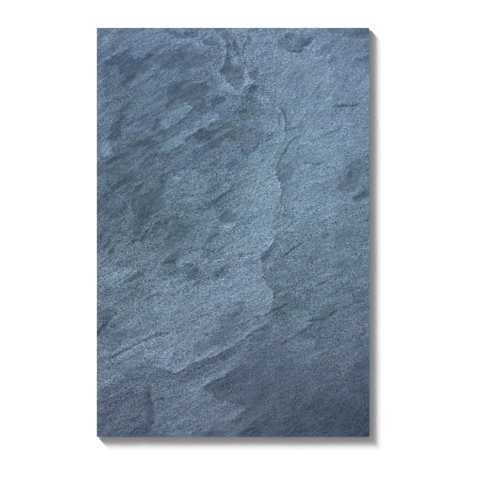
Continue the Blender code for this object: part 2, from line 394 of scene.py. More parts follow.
# %% Patches on the right
PATCHES += [
    ("plain", -0.34, [
        (266, 574), (270, 585), (277, 591), (290, 590), (300, 587), (308, 583), (316, 588),
        (319, 585), (312, 576), (303, 565), (298, 562), (290, 564), (283, 565), (277, 570),
    ]),
    ("violet", -0.45, [
        (296, 576), (300, 581), (308, 584), (314, 588), (320, 587), (312, 577), (305, 567),
        (300, 562), (290, 563), (284, 565), (292, 569),
    ]),
    ("plain", -0.26, [(264, 571), (266, 581), (272, 584), (274, 576), (272, 570)]),
    ("plain", -0.34, [(273, 588), (278, 593), (291, 591), (291, 586), (280, 585)]),
    ("teal", 0.06, [(262, 478), (262, 500), (272, 512), (288, 505), (292, 486), (280, 474)]),
    ("teal", 0.12, [(296, 477), (302, 484), (316, 487), (321, 480), (308, 476)]),
    ("brown", -0.36, [
        (352, 362), (360, 374), (366, 386), (374, 394), (386, 390), (386, 372), (379, 360),
        (366, 358),
    ]),
    ("plain", -0.30, [(366, 379), (369, 388), (376, 388), (377, 380), (371, 376)]),
    ("plain", -0.28, [(364, 394), (374, 404), (392, 408), (406, 412), (406, 392), (386, 390)]),
    ("violet", -0.24, [
        (262, 398), (270, 403), (282, 399), (292, 389), (288, 378), (278, 370), (270, 371),
    ]),
    ("plain", -0.14, [(262, 408), (264, 424), (272, 428), (278, 420), (272, 408)]),
    ("plain", -0.60, [
        (375, 350), (384, 356), (392, 360), (404, 364), (404, 354), (392, 350), (386, 344),
        (380, 345),
    ]),
    ("brown", -0.22, [(346, 286), (350, 300), (362, 308), (374, 304), (376, 294), (362, 286)]),
    ("olive", -0.26, [(350, 250), (358, 257), (370, 264), (386, 259), (380, 250), (362, 245)]),
    ("plain", -0.30, [
        (241, 262), (248, 271), (256, 277), (263, 285), (269, 278), (263, 266), (254, 256),
        (245, 252),
    ]),
    ("olive", -0.32, [(258, 214), (262, 223), (270, 227), (273, 217), (266, 207)]),
    ("olive", -0.24, [(264, 201), (272, 208), (284, 210), (286, 203), (276, 196)]),
    ("olive", -0.20, [(280, 190), (294, 199), (306, 207), (318, 206), (310, 196), (296, 188)]),
    ("teal", 0.22, [
        (282, 172), (288, 183), (298, 189), (310, 187), (313, 177), (306, 168), (296, 167),
        (288, 166),
    ]),
    ("teal", 0.03, [
        (282, 146), (282, 196), (300, 206), (345, 204), (352, 188), (318, 168), (300, 158),
    ]),
    ("plain", 0.12, [
        (280, 144), (284, 158), (294, 166), (308, 168), (316, 164), (304, 156), (294, 147),
    ]),
    ("plain", -0.12, [
        (312, 171), (320, 182), (334, 192), (350, 196), (352, 186), (342, 174), (328, 168),
    ]),
    ("teal", 0.24, [(304, 132), (306, 142), (314, 146), (321, 140), (318, 132)]),
    ("brown", -0.28, [(221, 143), (232, 149), (246, 152), (254, 144), (240, 139), (227, 139)]),
]
print(len(PATCHES), "patches so far")

# %% Patches in the middle
PATCHES += [
    ("violet", -0.14, [
        (209, 420), (209, 438), (206, 452), (214, 461), (226, 463), (240, 462), (249, 452),
        (250, 440), (241, 431), (236, 423), (227, 417), (217, 415),
    ]),
    ("violet", -0.22, [(188, 393), (193, 402), (203, 410), (210, 404), (206, 394), (196, 390)]),
    ("teal", 0.20, [(222, 400), (224, 412), (236, 418), (244, 410), (236, 400)]),
    ("teal", 0.20, [(236, 450), (244, 468), (262, 472), (268, 458), (256, 446)]),
    ("plain", -0.40, [(168, 486), (170, 497), (178, 500), (190, 498), (192, 490), (180, 484)]),
]
print(len(PATCHES), "patches")

# %% [markdown]
# ## Creases, cracks and veins
#
# Thin marks are streaks instead: a chain of points with a width, which tapers to both ends.
# The creases and cracks that catch the eye come first, and then the smaller marks.

# %% Creases, cracks and veins: kind, doublings of brightness, width in millimetres, chain
STREAKS = [
    ("plain", -1.15, 3.4, [(22, 116), (32, 122), (43, 128), (54, 133), (64, 138)]),
    ("plain", -0.80, 4.0, [(60, 139), (72, 142), (84, 147), (96, 151), (106, 152)]),
    ("plain", -1.30, 5.5, [(-6, 142), (5, 155), (13, 164), (20, 173)]),
    ("plain", -0.80, 5.5, [(13, 181), (20, 182), (28, 186)]),
    ("plain", -0.45, 8.0, [(10, 166), (18, 176), (28, 185)]),
    ("olive", -0.30, 12.0, [(-6, 172), (6, 180), (16, 183), (28, 187)]),
    ("plain", -0.30, 8.0, [(16, 402), (32, 409), (48, 417)]),
    ("violet", -0.30, 9.0, [(56, 429), (70, 431), (84, 431)]),
    ("plain", -0.35, 5.0, [(70, 433), (82, 437)]),
    ("olive", 0.30, 6.0, [(82, 436), (96, 435)]),
    ("violet", -0.20, 16.0, [(58, 305), (64, 325), (66, 343)]),
    ("violet", -0.75, 5.0, [(128, 251), (134, 253), (141, 253)]),
    ("plain", -0.35, 9.0, [(-2, 282), (6, 292), (12, 304)]),
    ("olive", -0.12, 8.0, [(168, 342), (178, 348), (186, 356), (196, 362)]),
    ("plain", 0.28, 6.0, [(184, 308), (192, 309), (202, 312)]),
    ("olive", -0.14, 7.0, [(160, 287), (170, 294), (181, 299)]),
    ("plain", -0.34, 9.0, [(243, 259), (247, 267), (256, 274)]),
    ("brown", -0.06, 9.0, [(386, 347), (402, 353)]),
    ("teal", 0.30, 12.0, [(94, 420), (104, 428), (116, 436)]),
    ("plain", -0.45, 3.2, [(211, 419), (216, 413), (224, 415), (231, 419), (236, 424), (238, 431)]),
    ("plain", -0.55, 3.6, [(282, 565), (290, 565), (298, 564), (303, 567)]),
    ("plain", -0.35, 7.0, [(300, 568), (308, 577), (317, 587)]),
    ("plain", -0.16, 5.0, [(326, 560), (340, 576), (352, 590)]),
    ("plain", -0.16, 5.0, [(264, 528), (276, 540), (290, 552)]),
    ("plain", 0.14, 6.0, [(268, 520), (284, 538), (300, 552)]),
    ("plain", -0.16, 5.0, [(290, 478), (300, 495), (306, 512)]),
    ("plain", -0.14, 5.0, [(340, 505), (352, 520), (366, 530)]),
    ("olive", -0.22, 12.0, [(12, 545), (15, 525), (14, 502)]),
    ("plain", 0.22, 3.2, [(2, 547), (12, 553), (24, 561), (33, 569)]),
    ("olive", -0.25, 12.0, [(38, 470), (44, 482), (47, 495)]),
    ("plain", -1.25, 2.2, [(274, 263), (283, 271), (291, 277), (301, 283)]),
    ("plain", -0.60, 3.2, [(277, 450), (290, 452), (297, 456), (303, 462)]),
    ("plain", -0.70, 3.4, [
        (264, 394), (270, 409), (277, 419), (284, 432), (292, 438), (300, 441), (308, 449),
    ]),
    ("plain", -0.85, 4.5, [(346, 485), (357, 486), (366, 487), (378, 487), (387, 488)]),
    ("plain", -0.30, 3.0, [(348, 485), (353, 477)]),
    ("plain", -0.62, 3.4, [(254, 184), (262, 186), (270, 188), (280, 194), (290, 199), (302, 205)]),
    ("plain", -0.42, 6.0, [(263, 180), (275, 183)]),
    ("plain", -0.50, 3.0, [(141, 441), (146, 446), (153, 450), (162, 450)]),
    ("olive", 0.50, 5.0, [(166, 432), (174, 438), (184, 446), (196, 451)]),
    ("olive", 0.25, 3.0, [(150, 426), (160, 430), (170, 435)]),
    ("brown", -0.50, 5.0, [(167, 423), (176, 425), (181, 431), (184, 437)]),
    ("plain", -0.42, 3.0, [(86, 54), (96, 56), (104, 56), (117, 59)]),
    ("plain", -1.20, 4.0, [(95, 56), (99, 57)]),
    ("plain", -0.70, 3.0, [(8, 66), (16, 74), (28, 83)]),
    ("olive", 0.40, 3.5, [(124, 511), (132, 514)]),
]
print(len(STREAKS), "streaks so far")

# %% Smaller marks on the right
STREAKS += [
    ("plain", -0.36, 3.2, [(211, 567), (218, 571)]),
    ("plain", -0.30, 3.6, [(260, 527), (268, 533), (276, 541)]),
    ("plain", -0.22, 3.0, [(243, 556), (251, 566), (258, 582), (264, 594)]),
    ("plain", -0.26, 3.2, [(262, 507), (269, 502)]),
    ("plain", -0.45, 5.5, [(342, 548), (348, 556)]),
    ("plain", -0.26, 3.0, [(325, 551), (337, 551)]),
    ("plain", -0.42, 3.6, [(378, 565), (387, 567)]),
    ("plain", -0.36, 4.0, [(385, 553), (393, 553)]),
    ("plain", -0.40, 5.0, [(395, 556), (402, 557)]),
    ("plain", -0.28, 4.0, [(359, 576), (366, 577)]),
    ("plain", -0.28, 4.0, [(386, 569), (395, 573)]),
    ("plain", -0.30, 3.6, [(338, 512), (342, 503), (348, 500)]),
    ("teal", 0.24, 7.0, [(332, 492), (346, 496)]),
    ("plain", -0.36, 3.2, [(334, 442), (345, 446), (355, 451), (363, 455)]),
    ("plain", -0.28, 4.0, [(328, 451), (337, 456)]),
    ("plain", -0.28, 5.0, [(316, 433), (320, 436)]),
    ("plain", -0.36, 3.6, [(295, 421), (304, 427)]),
    ("plain", -0.60, 3.0, [(304, 402), (322, 400), (332, 401)]),
    ("plain", -0.50, 3.4, [(335, 397), (349, 393)]),
    ("plain", -0.50, 3.0, [(273, 326), (277, 324), (281, 324)]),
    ("plain", -0.50, 3.2, [(322, 310), (330, 312), (341, 319)]),
    ("teal", -0.42, 7.0, [(329, 293), (338, 297)]),
    ("plain", -0.62, 6.0, [(326, 224), (335, 226)]),
    ("plain", -0.32, 6.0, [(298, 152), (310, 158), (319, 165)]),
    ("plain", -0.30, 4.0, [(282, 140), (290, 146), (300, 152)]),
    ("plain", -0.50, 4.5, [(311, 169), (319, 171)]),
    ("plain", -0.50, 4.5, [(322, 172), (334, 172)]),
    ("plain", -0.55, 4.5, [(339, 178), (346, 182), (352, 185)]),
    ("plain", -0.40, 5.0, [(301, 187), (311, 192)]),
    ("plain", -0.36, 4.0, [(371, 214), (380, 219), (396, 213)]),
    ("plain", -0.32, 3.6, [(338, 205), (346, 208), (354, 213)]),
    ("plain", -0.38, 5.0, [(377, 195), (391, 199)]),
    ("plain", -0.42, 3.2, [(384, 189), (393, 190), (402, 193)]),
    ("plain", -0.28, 7.0, [(304, 211), (318, 217)]),
    ("plain", -0.36, 7.0, [(361, 186), (372, 193)]),
    ("plain", -0.42, 6.0, [(392, 151), (399, 160)]),
    ("plain", -0.42, 3.2, [(384, 140), (387, 152)]),
    ("plain", -0.36, 5.0, [(269, 135), (281, 138)]),
    ("plain", -0.32, 5.0, [(328, 117), (335, 122)]),
    ("plain", -0.32, 5.0, [(379, 105), (388, 108)]),
    ("plain", 0.38, 3.0, [(329, 67), (336, 77)]),
    ("plain", -0.28, 9.0, [(300, 46), (318, 42)]),
    ("plain", 0.28, 3.5, [(307, 44), (313, 49)]),
    ("plain", -0.30, 6.0, [(318, 32), (325, 40)]),
    ("plain", -0.35, 9.0, [(208, 4), (222, 12), (234, 21)]),
]
print(len(STREAKS), "streaks so far")

# %% Smaller marks in the middle
STREAKS += [
    ("plain", -0.26, 7.0, [(190, 462), (180, 455)]),
    ("plain", -0.40, 7.0, [(209, 474), (219, 479)]),
    ("violet", -0.24, 10.0, [(230, 473), (246, 477)]),
    ("plain", -0.30, 4.0, [(256, 397), (263, 399)]),
    ("plain", -0.28, 7.0, [(168, 396), (179, 405)]),
    ("plain", -0.28, 7.0, [(140, 408), (158, 418)]),
    ("plain", -0.28, 8.0, [(152, 381), (162, 391)]),
    ("violet", -0.24, 7.0, [(224, 385), (237, 391)]),
    ("plain", -0.30, 5.0, [(203, 338), (212, 344)]),
    ("plain", -0.24, 9.0, [(196, 340), (216, 356)]),
    ("plain", -0.75, 4.5, [(211, 266), (217, 269)]),
    ("plain", -0.70, 3.6, [(220, 268), (230, 268)]),
    ("plain", -0.36, 3.0, [(210, 246), (222, 251), (232, 256), (239, 262)]),
    ("plain", -0.50, 9.0, [(196, 173), (206, 181), (218, 192)]),
    ("plain", -0.28, 6.0, [(184, 166), (200, 177)]),
    ("plain", -0.80, 4.2, [(206, 192), (217, 197)]),
    ("plain", -0.60, 3.6, [(230, 174), (237, 176)]),
    ("plain", -0.26, 6.0, [(220, 186), (232, 197)]),
    ("plain", -0.80, 3.6, [(158, 151), (164, 151)]),
    ("plain", -0.34, 3.4, [(168, 151), (176, 150)]),
    ("plain", -0.40, 4.0, [(160, 180), (168, 179)]),
]
print(len(STREAKS), "streaks so far")

# %% Smaller marks on the left
STREAKS += [
    ("plain", -0.38, 8.0, [(84, 452), (92, 466)]),
    ("plain", -0.34, 8.0, [(62, 463), (75, 472)]),
    ("plain", -0.30, 7.0, [(90, 443), (102, 446)]),
    ("plain", 0.26, 5.0, [(39, 436), (46, 448)]),
    ("plain", -0.45, 5.0, [(72, 438), (82, 441)]),
    ("plain", 0.24, 5.0, [(32, 361), (46, 369)]),
    ("plain", 0.18, 9.0, [(64, 357), (92, 370)]),
    ("plain", -0.25, 8.0, [(88, 374), (102, 384)]),
    ("plain", -0.45, 4.0, [(15, 382), (17, 372), (22, 364)]),
    ("plain", -0.38, 7.0, [(20, 318), (30, 326), (40, 336)]),
    ("plain", -0.85, 6.0, [(20, 267), (28, 279)]),
    ("plain", -0.38, 4.5, [(9, 271), (14, 280), (21, 288)]),
    ("plain", -0.60, 4.0, [(46, 281), (60, 288), (70, 285)]),
    ("plain", -0.38, 5.0, [(28, 300), (40, 300), (53, 309)]),
    ("plain", -0.34, 5.0, [(56, 299), (70, 301)]),
    ("olive", 0.32, 5.0, [(33, 301), (45, 309)]),
    ("plain", -0.45, 7.0, [(67, 289), (77, 301)]),
    ("plain", -0.34, 4.0, [(117, 319), (124, 309), (133, 307), (142, 311)]),
    ("plain", -0.35, 3.0, [(117, 322), (127, 321)]),
    ("plain", -0.62, 3.4, [(103, 237), (112, 240), (121, 247)]),
    ("olive", -0.56, 6.0, [(42, 226), (51, 232), (62, 238), (70, 236)]),
    ("plain", 0.24, 4.5, [(44, 222), (60, 229)]),
    ("plain", -0.36, 5.0, [(32, 209), (48, 216), (60, 221)]),
    ("plain", -0.34, 5.0, [(8, 211), (22, 217)]),
    ("plain", -0.10, 14.0, [(50, 205), (69, 215)]),
    ("plain", -0.40, 4.5, [(69, 199), (79, 206), (92, 209)]),
    ("plain", -0.28, 5.0, [(20, 165), (34, 158)]),
    ("plain", -0.24, 8.0, [(16, 145), (44, 148)]),
    ("plain", -0.30, 5.0, [(110, 112), (118, 122)]),
    ("plain", -0.28, 6.0, [(130, 120), (138, 124)]),
    ("plain", -0.30, 6.0, [(38, 79), (60, 84), (76, 86)]),
    ("plain", -0.45, 5.0, [(54, 81), (62, 84), (70, 89)]),
    ("plain", -0.30, 7.0, [(62, 100), (78, 106), (94, 111)]),
    ("plain", -0.26, 6.0, [(22, 68), (34, 72)]),
    ("plain", -0.22, 4.5, [(48, 21), (63, 29)]),
    ("plain", -0.28, 7.0, [(18, 47), (46, 53)]),
    ("plain", -0.24, 5.0, [(28, 58), (52, 64)]),
    ("plain", -0.30, 4.5, [(22, 8), (42, 12), (56, 16)]),
    ("plain", -0.26, 6.0, [(140, 4), (190, 5)]),
    ("plain", 0.26, 8.0, [(110, 579), (130, 582), (150, 577)]),
    ("plain", 0.36, 2.8, [(165, 503), (167, 493), (173, 487), (183, 483)]),
    ("plain", 0.18, 10.0, [(182, 425), (202, 431)]),
    ("plain", -0.28, 5.0, [(156, 538), (166, 530)]),
    ("plain", -0.30, 5.0, [(152, 523), (172, 530)]),
    ("plain", -0.30, 6.0, [(155, 582), (172, 577), (184, 574)]),
]
print(len(STREAKS), "streaks")

# %% [markdown]
# ## Broad bands of paler and darker stone
#
# Whole areas of the face are paler or darker, and the lower right corner is darker still.
# These are soft strokes with no edge at all: two ends, a radius over which the tone fades
# away, and the same doublings of brightness. The broad ones come first. The small ones
# cloud the stone between the drawn marks.

# %% The broad bands: two ends, radius, doublings of brightness
BANDS = [
    (300, 330, 330, 540, 80, 0.36), (225, 200, 240, 400, 30, 0.28), (60, 130, 200, 220, 45, 0.31),
    (0, 330, 60, 400, 45, -0.34), (240, 50, 400, 70, 60, -0.50), (300, -25, 430, -20, 75, -1.10),
    (-10, -20, 60, 20, 55, -0.65), (290, 170, 400, 190, 40, -0.16), (60, 480, 130, 540, 60, -0.12),
    (240, 350, 255, 400, 26, 0.14), (180, 240, 250, 290, 25, 0.14), (98, 112, 140, 120, 14, 0.20),
    (200, 130, 260, 100, 40, -0.14), (405, 560, 405, 600, 30, -0.16), (-6, 300, -6, 560, 14, -0.10),
    (230, 575, 320, 575, 40, 0.20), (290, 430, 400, 440, 42, 0.20), (90, 365, 190, 370, 35, 0.08),
    (0, 240, 130, 240, 28, 0.26), (-4, 400, -4, 430, 40, 0.10), (252, 245, 330, 275, 26, -0.20),
    (180, 300, 240, 300, 25, 0.08), (130, 560, 200, 580, 40, 0.14), (420, -10, 420, 30, 60, -0.40),
    (0, 60, 60, 120, 50, -0.10), (190, 72, 236, 82, 18, -0.22), (64, 315, 88, 360, 17, -0.22),
    (95, 295, 130, 300, 24, -0.14), (15, 592, 90, 592, 12, 0.12), (205, 282, 245, 292, 14, 0.12),
    (130, 242, 190, 242, 10, -0.14), (60, 122, 90, 128, 12, -0.12), (150, 12, 170, 14, 12, -0.12),
    (65, 25, 140, 25, 28, 0.09), (20, 124, 140, 128, 24, 0.08), (95, 272, 140, 272, 22, 0.09),
    (372, 572, 396, 582, 26, -0.10), (322, 372, 336, 378, 22, 0.10),
]
print(len(BANDS), "bands")

# %% Small dark clouds
BANDS += [
    (66, 546, 96, 576, 7, -0.20), (272, 566, 278, 572, 7, -0.24), (178, 556, 184, 558, 6, -0.20),
    (348, 550, 349, 552, 5, -0.30), (102, 542, 130, 544, 6, -0.22), (18, 530, 32, 538, 10, -0.28),
    (162, 476, 198, 474, 9, -0.20), (354, 468, 368, 468, 9, -0.26), (24, 446, 58, 470, 9, -0.22),
    (152, 434, 170, 437, 7, -0.26), (184, 434, 204, 436, 6, -0.20), (113, 428, 124, 433, 7, -0.20),
    (106, 402, 126, 394, 8, -0.26), (286, 384, 292, 444, 10, -0.20), (15, 393, 28, 394, 8, -0.26),
    (148, 356, 178, 337, 9, -0.26), (94, 311, 112, 314, 8, -0.22), (196, 256, 198, 266, 8, -0.22),
    (38, 254, 56, 254, 7, -0.26), (264, 182, 284, 192, 9, -0.26), (2, 158, 14, 168, 8, -0.20),
    (14, 150, 58, 156, 7, -0.18), (334, 138, 352, 141, 10, -0.28), (228, 108, 260, 132, 10, -0.26),
    (382, 102, 400, 106, 9, -0.22), (122, 82, 158, 92, 8, -0.20), (84, 82, 96, 88, 8, -0.24),
    (150, 4, 178, 4, 10, -0.30), (324, 582, 346, 594, 8, -0.20), (344, 568, 350, 580, 6, -0.26),
    (12, 561, 32, 572, 4, -0.28), (1, 554, 4, 558, 6, -0.26), (68, 540, 92, 570, 4, -0.20),
    (108, 541, 156, 546, 4, -0.26), (30, 504, 36, 514, 6, -0.34), (38, 518, 64, 535, 5, -0.26),
    (222, 440, 226, 446, 6, -0.28), (245, 434, 254, 438, 6, -0.22), (152, 434, 162, 437, 5, -0.26),
    (194, 411, 214, 413, 6, -0.22), (274, 402, 278, 410, 7, -0.24), (284, 366, 300, 370, 8, -0.16),
    (190, 348, 200, 358, 6, -0.26), (150, 336, 160, 342, 6, -0.26), (52, 342, 60, 348, 6, -0.26),
    (2, 334, 10, 336, 7, -0.36), (202, 308, 216, 310, 7, -0.20), (270, 286, 280, 289, 6, -0.30),
    (306, 284, 314, 290, 6, -0.22), (233, 270, 240, 271, 5, -0.32), (130, 261, 142, 262, 5, -0.28),
    (96, 252, 116, 243, 7, -0.20), (36, 252, 46, 254, 5, -0.24), (56, 230, 70, 232, 4, -0.28),
    (315, 206, 319, 214, 5, -0.28), (376, 210, 386, 211, 5, -0.26), (98, 186, 106, 189, 5, -0.30),
    (278, 154, 302, 171, 5, -0.28), (204, 170, 224, 154, 7, -0.30), (264, 172, 270, 180, 6, -0.26),
    (380, 148, 384, 152, 5, -0.30), (12, 149, 50, 153, 4, -0.22), (204, 46, 216, 47, 4, -0.28),
    (20, 20, 28, 24, 5, -0.26), (158, 6, 170, 8, 6, -0.24), (170, 551, 182, 558, 5, -0.24),
    (211, 562, 214, 578, 4, -0.26), (42, 518, 54, 526, 5, -0.20), (52, 506, 60, 510, 4, -0.26),
    (104, 488, 122, 494, 4, -0.26), (342, 490, 352, 496, 5, -0.24), (308, 470, 322, 472, 5, -0.24),
    (380, 435, 396, 437, 5, -0.24), (62, 428, 74, 431, 4, -0.24), (112, 390, 124, 391, 4, -0.28),
    (203, 388, 210, 400, 4, -0.22), (218, 364, 234, 370, 4, -0.22), (252, 310, 262, 316, 4, -0.26),
    (98, 271, 112, 273, 4, -0.28), (356, 276, 374, 278, 4, -0.26), (324, 236, 330, 248, 5, -0.20),
    (128, 230, 154, 235, 4, -0.26), (242, 231, 256, 233, 4, -0.28), (300, 187, 307, 188, 4, -0.26),
    (168, 113, 184, 115, 4, -0.26), (272, 572, 287, 563, 4, -0.26), (344, 546, 350, 554, 4, -0.24),
    (181, 518, 188, 520, 4, -0.30), (144, 468, 157, 476, 5, -0.22), (48, 457, 62, 467, 4, -0.28),
    (163, 447, 192, 458, 4, -0.20), (252, 446, 261, 460, 4, -0.26), (26, 434, 33, 446, 5, -0.26),
    (155, 432, 180, 437, 4, -0.20), (222, 401, 250, 402, 6, -0.24), (155, 332, 176, 340, 5, -0.24),
    (56, 290, 76, 298, 5, -0.20), (0, 268, 5, 278, 5, -0.30), (100, 230, 112, 242, 5, -0.22),
    (291, 217, 303, 225, 4, -0.24), (380, 209, 398, 213, 4, -0.26), (2, 204, 20, 214, 5, -0.24),
    (219, 200, 230, 211, 5, -0.24), (109, 192, 118, 198, 4, -0.28), (218, 176, 237, 188, 6, -0.22),
    (330, 168, 338, 173, 4, -0.30), (82, 104, 97, 111, 4, -0.26), (32, 101, 60, 102, 4, -0.24),
    (382, 98, 400, 106, 5, -0.24), (80, 78, 96, 88, 5, -0.24), (48, 70, 56, 74, 4, -0.24),
    (120, 53, 132, 59, 4, -0.24), (156, 2, 170, 10, 6, -0.25), (392, 4, 400, 8, 6, -0.30),
    (303, 573, 311, 576, 3, -0.28), (42, 563, 50, 573, 4, -0.24), (26, 530, 34, 536, 4, -0.26),
    (106, 519, 134, 517, 4, -0.22), (82, 491, 97, 497, 5, -0.24), (141, 495, 151, 497, 3, -0.28),
    (266, 464, 274, 473, 4, -0.26), (289, 447, 300, 451, 4, -0.20), (59, 424, 73, 430, 4, -0.24),
    (58, 407, 71, 413, 4, -0.24), (24, 409, 44, 413, 3, -0.22), (20, 389, 30, 393, 4, -0.24),
    (348, 359, 355, 365, 4, -0.26), (223, 315, 229, 324, 4, -0.22), (160, 283, 166, 285, 3, -0.28),
    (38, 247, 54, 252, 4, -0.24), (61, 248, 75, 251, 3, -0.26), (0, 209, 2, 213, 4, -0.30),
    (187, 209, 193, 213, 3, -0.26), (334, 189, 346, 193, 4, -0.22), (117, 167, 125, 173, 4, -0.26),
    (183, 166, 194, 169, 4, -0.26), (241, 146, 250, 153, 4, -0.24), (210, 139, 216, 146, 4, -0.24),
    (0, 131, 3, 134, 4, -0.30), (375, 70, 383, 78, 4, -0.24), (76, 63, 82, 69, 4, -0.26),
    (0, 50, 14, 58, 5, -0.44), (106, 97, 117, 93, 3, -0.45), (281, 54, 290, 44, 4, -0.24),
    (206, 38, 215, 45, 4, -0.26), (245, 37, 255, 43, 4, -0.26), (191, 20, 197, 30, 4, -0.22),
    (103, 17, 111, 22, 4, -0.26),
]
print(len(BANDS), "bands and clouds so far")

# %% Small pale clouds
BANDS += [
    (158, 534, 164, 538, 7, 0.22), (194, 514, 204, 524, 8, 0.26), (388, 504, 400, 522, 11, 0.24),
    (2, 502, 4, 520, 8, 0.22), (134, 496, 142, 496, 8, 0.22), (56, 398, 86, 412, 8, 0.20),
    (164, 386, 194, 390, 9, 0.22), (302, 326, 362, 362, 12, 0.20), (50, 328, 66, 340, 9, 0.18),
    (124, 330, 138, 331, 9, 0.18), (3, 312, 5, 318, 8, 0.22), (326, 300, 338, 300, 9, 0.22),
    (100, 290, 112, 291, 8, 0.20), (134, 276, 154, 292, 12, 0.30), (342, 242, 350, 248, 8, 0.20),
    (378, 222, 384, 226, 9, 0.24), (66, 208, 86, 216, 9, 0.20), (188, 198, 210, 212, 9, 0.18),
    (84, 118, 132, 138, 9, 0.18), (14, 121, 40, 126, 7, 0.20), (188, 90, 204, 96, 8, 0.20),
    (92, 59, 124, 62, 7, 0.24), (256, 584, 272, 586, 8, 0.24), (190, 541, 206, 543, 6, 0.26),
    (197, 508, 203, 520, 6, 0.22), (166, 489, 178, 490, 5, 0.24), (1, 476, 4, 486, 6, 0.26),
    (214, 481, 230, 482, 5, 0.24), (398, 486, 400, 490, 6, 0.24), (284, 454, 290, 456, 5, 0.20),
    (1, 350, 4, 356, 6, 0.24), (163, 352, 173, 355, 5, 0.22), (70, 301, 78, 303, 5, 0.24),
    (290, 286, 296, 289, 5, 0.30), (60, 275, 82, 275, 5, 0.20), (322, 266, 330, 270, 6, 0.26),
    (296, 260, 302, 266, 5, 0.20), (334, 238, 342, 245, 6, 0.22), (20, 229, 32, 232, 5, 0.22),
    (60, 217, 88, 224, 5, 0.20), (282, 199, 302, 204, 5, 0.26), (230, 170, 238, 178, 6, 0.30),
    (190, 129, 210, 140, 5, 0.28), (126, 102, 136, 106, 6, 0.22), (110, 86, 116, 94, 6, 0.26),
    (214, 78, 240, 80, 7, 0.22), (1, 74, 6, 80, 7, 0.30), (206, 34, 216, 38, 6, 0.26),
    (226, 546, 236, 548, 4, 0.26), (136, 491, 160, 492, 4, 0.24), (46, 408, 62, 414, 4, 0.26),
    (154, 342, 168, 343, 4, 0.26), (80, 322, 96, 326, 4, 0.26), (206, 137, 238, 160, 3, 0.26),
    (40, 526, 52, 538, 5, 0.28), (384, 512, 400, 527, 6, 0.22), (0, 516, 10, 523, 5, 0.24),
    (281, 502, 285, 506, 3, 0.30), (189, 476, 206, 481, 4, 0.24), (242, 464, 250, 474, 4, 0.24),
    (0, 466, 4, 480, 5, 0.26), (348, 348, 376, 353, 6, 0.18), (267, 346, 274, 355, 4, 0.26),
    (54, 328, 60, 336, 4, 0.24), (248, 311, 256, 320, 4, 0.24), (46, 306, 60, 314, 5, 0.28),
    (328, 300, 340, 308, 5, 0.20), (338, 214, 352, 231, 5, 0.26), (47, 207, 53, 216, 4, 0.28),
    (105, 202, 120, 209, 4, 0.28), (27, 188, 36, 193, 4, 0.26), (65, 172, 77, 178, 4, 0.24),
    (92, 524, 102, 528, 4, 0.22), (46, 495, 57, 500, 3, 0.24), (22, 462, 34, 474, 4, 0.22),
    (174, 439, 184, 443, 3, 0.24), (16, 419, 26, 427, 4, 0.26), (118, 380, 129, 384, 4, 0.24),
    (295, 323, 303, 330, 4, 0.24), (72, 300, 75, 301, 3, 0.24), (71, 226, 79, 230, 4, 0.24),
    (364, 161, 375, 167, 4, 0.24), (319, 141, 331, 150, 4, 0.24), (363, 105, 380, 118, 7, 0.16),
    (0, 66, 8, 72, 5, 0.22), (112, 57, 122, 63, 4, 0.24), (0, 26, 6, 42, 5, 0.22),
    (88, 22, 97, 36, 4, 0.22), (113, 84, 124, 88, 4, 0.24), (301, 572, 313, 584, 3, 0.34),
    (328, 563, 346, 581, 4, 0.24), (378, 591, 398, 597, 3, 0.16), (54, 27, 60, 30, 3, 0.20),
]
print(len(BANDS), "bands and clouds")

# %% [markdown]
# ## Measuring every point of the face
#
# The fields are worked out with numpy for all points of the face together. Noise from
# mathutils is read in coordinates that follow the grain: u runs along it and v across it,
# so that dividing u by a large length and v by a small one draws streaks. The grain is
# steeper at the sheet's upper left than at its foot, as it is where a bed was bent.

# %% The grid of points, and the grain's own coordinates
CELL = 1.6
COLUMNS = round(WIDTH / CELL)
ROWS = round(LENGTH / CELL)
GRAIN_FLATTEST = math.radians(26)
GRAIN_STEEPEST = math.radians(36)


def sheet_grid(columns, rows):
    """A level grid as large as the sheet."""
    form = bmesh.new()
    size = Matrix.Diagonal((WIDTH * MM, LENGTH * MM, 1.0, 1.0))
    bmesh.ops.create_grid(form, x_segments=columns, y_segments=rows, size=0.5, matrix=size)
    return form


face = sheet_grid(COLUMNS, ROWS)
places = np.array([vertex.co.xy for vertex in face.verts]) / MM
x = places[:, 0] + WIDTH / 2
y = places[:, 1] + LENGTH / 2
steepness = np.clip((y / LENGTH) * (1.3 - x / WIDTH), 0, 1)
angle = GRAIN_FLATTEST + (GRAIN_STEEPEST - GRAIN_FLATTEST) * steepness
u = x * np.cos(angle) + y * np.sin(angle)
v = y * np.cos(angle) - x * np.sin(angle)
print(len(face.verts), "points,", COLUMNS, "by", ROWS, "cells")

# %% Noise along the grain, and two soft weights
OCTAVE_STEP = 2.1
OCTAVE_FADE = 0.8


def grain_noise(length, width, seed, octaves=1, turn=0.0):
    """Smooth noise about -1 to 1, in blotches of this length along the grain and width across it.
    A turn, in radians, sets the blotches steeper than the grain."""
    along = u * math.cos(turn) + v * math.sin(turn)
    across = v * math.cos(turn) - u * math.sin(turn)
    points = [(a, b, seed) for a, b in zip(along / length, across / width)]
    return np.array([noise.fractal(p, OCTAVE_FADE, OCTAVE_STEP, octaves) for p in points])


def ramp(value, start, end):
    """0 below start and 1 above end, with a smooth rise between."""
    t = np.clip((value - start) / (end - start), 0, 1)
    return t * t * (3 - 2 * t)


def spot(px, py, radius):
    """A soft round weight, 1 at its middle."""
    return np.exp(-(((x - px) ** 2 + (y - py) ** 2) / radius**2))


print("a value halfway up a ramp is", ramp(0.5, 0.0, 1.0))

# %% [markdown]
# ## Fraying the outlines
#
# A drawn outline is too smooth for torn stone. So the face never looks an outline up at its
# own place, but at a place that noise has pushed aside. Blotches a centimetre across nibble
# the edge, and long thin ones comb it out along the grain. A few fresh breaks stay clean.

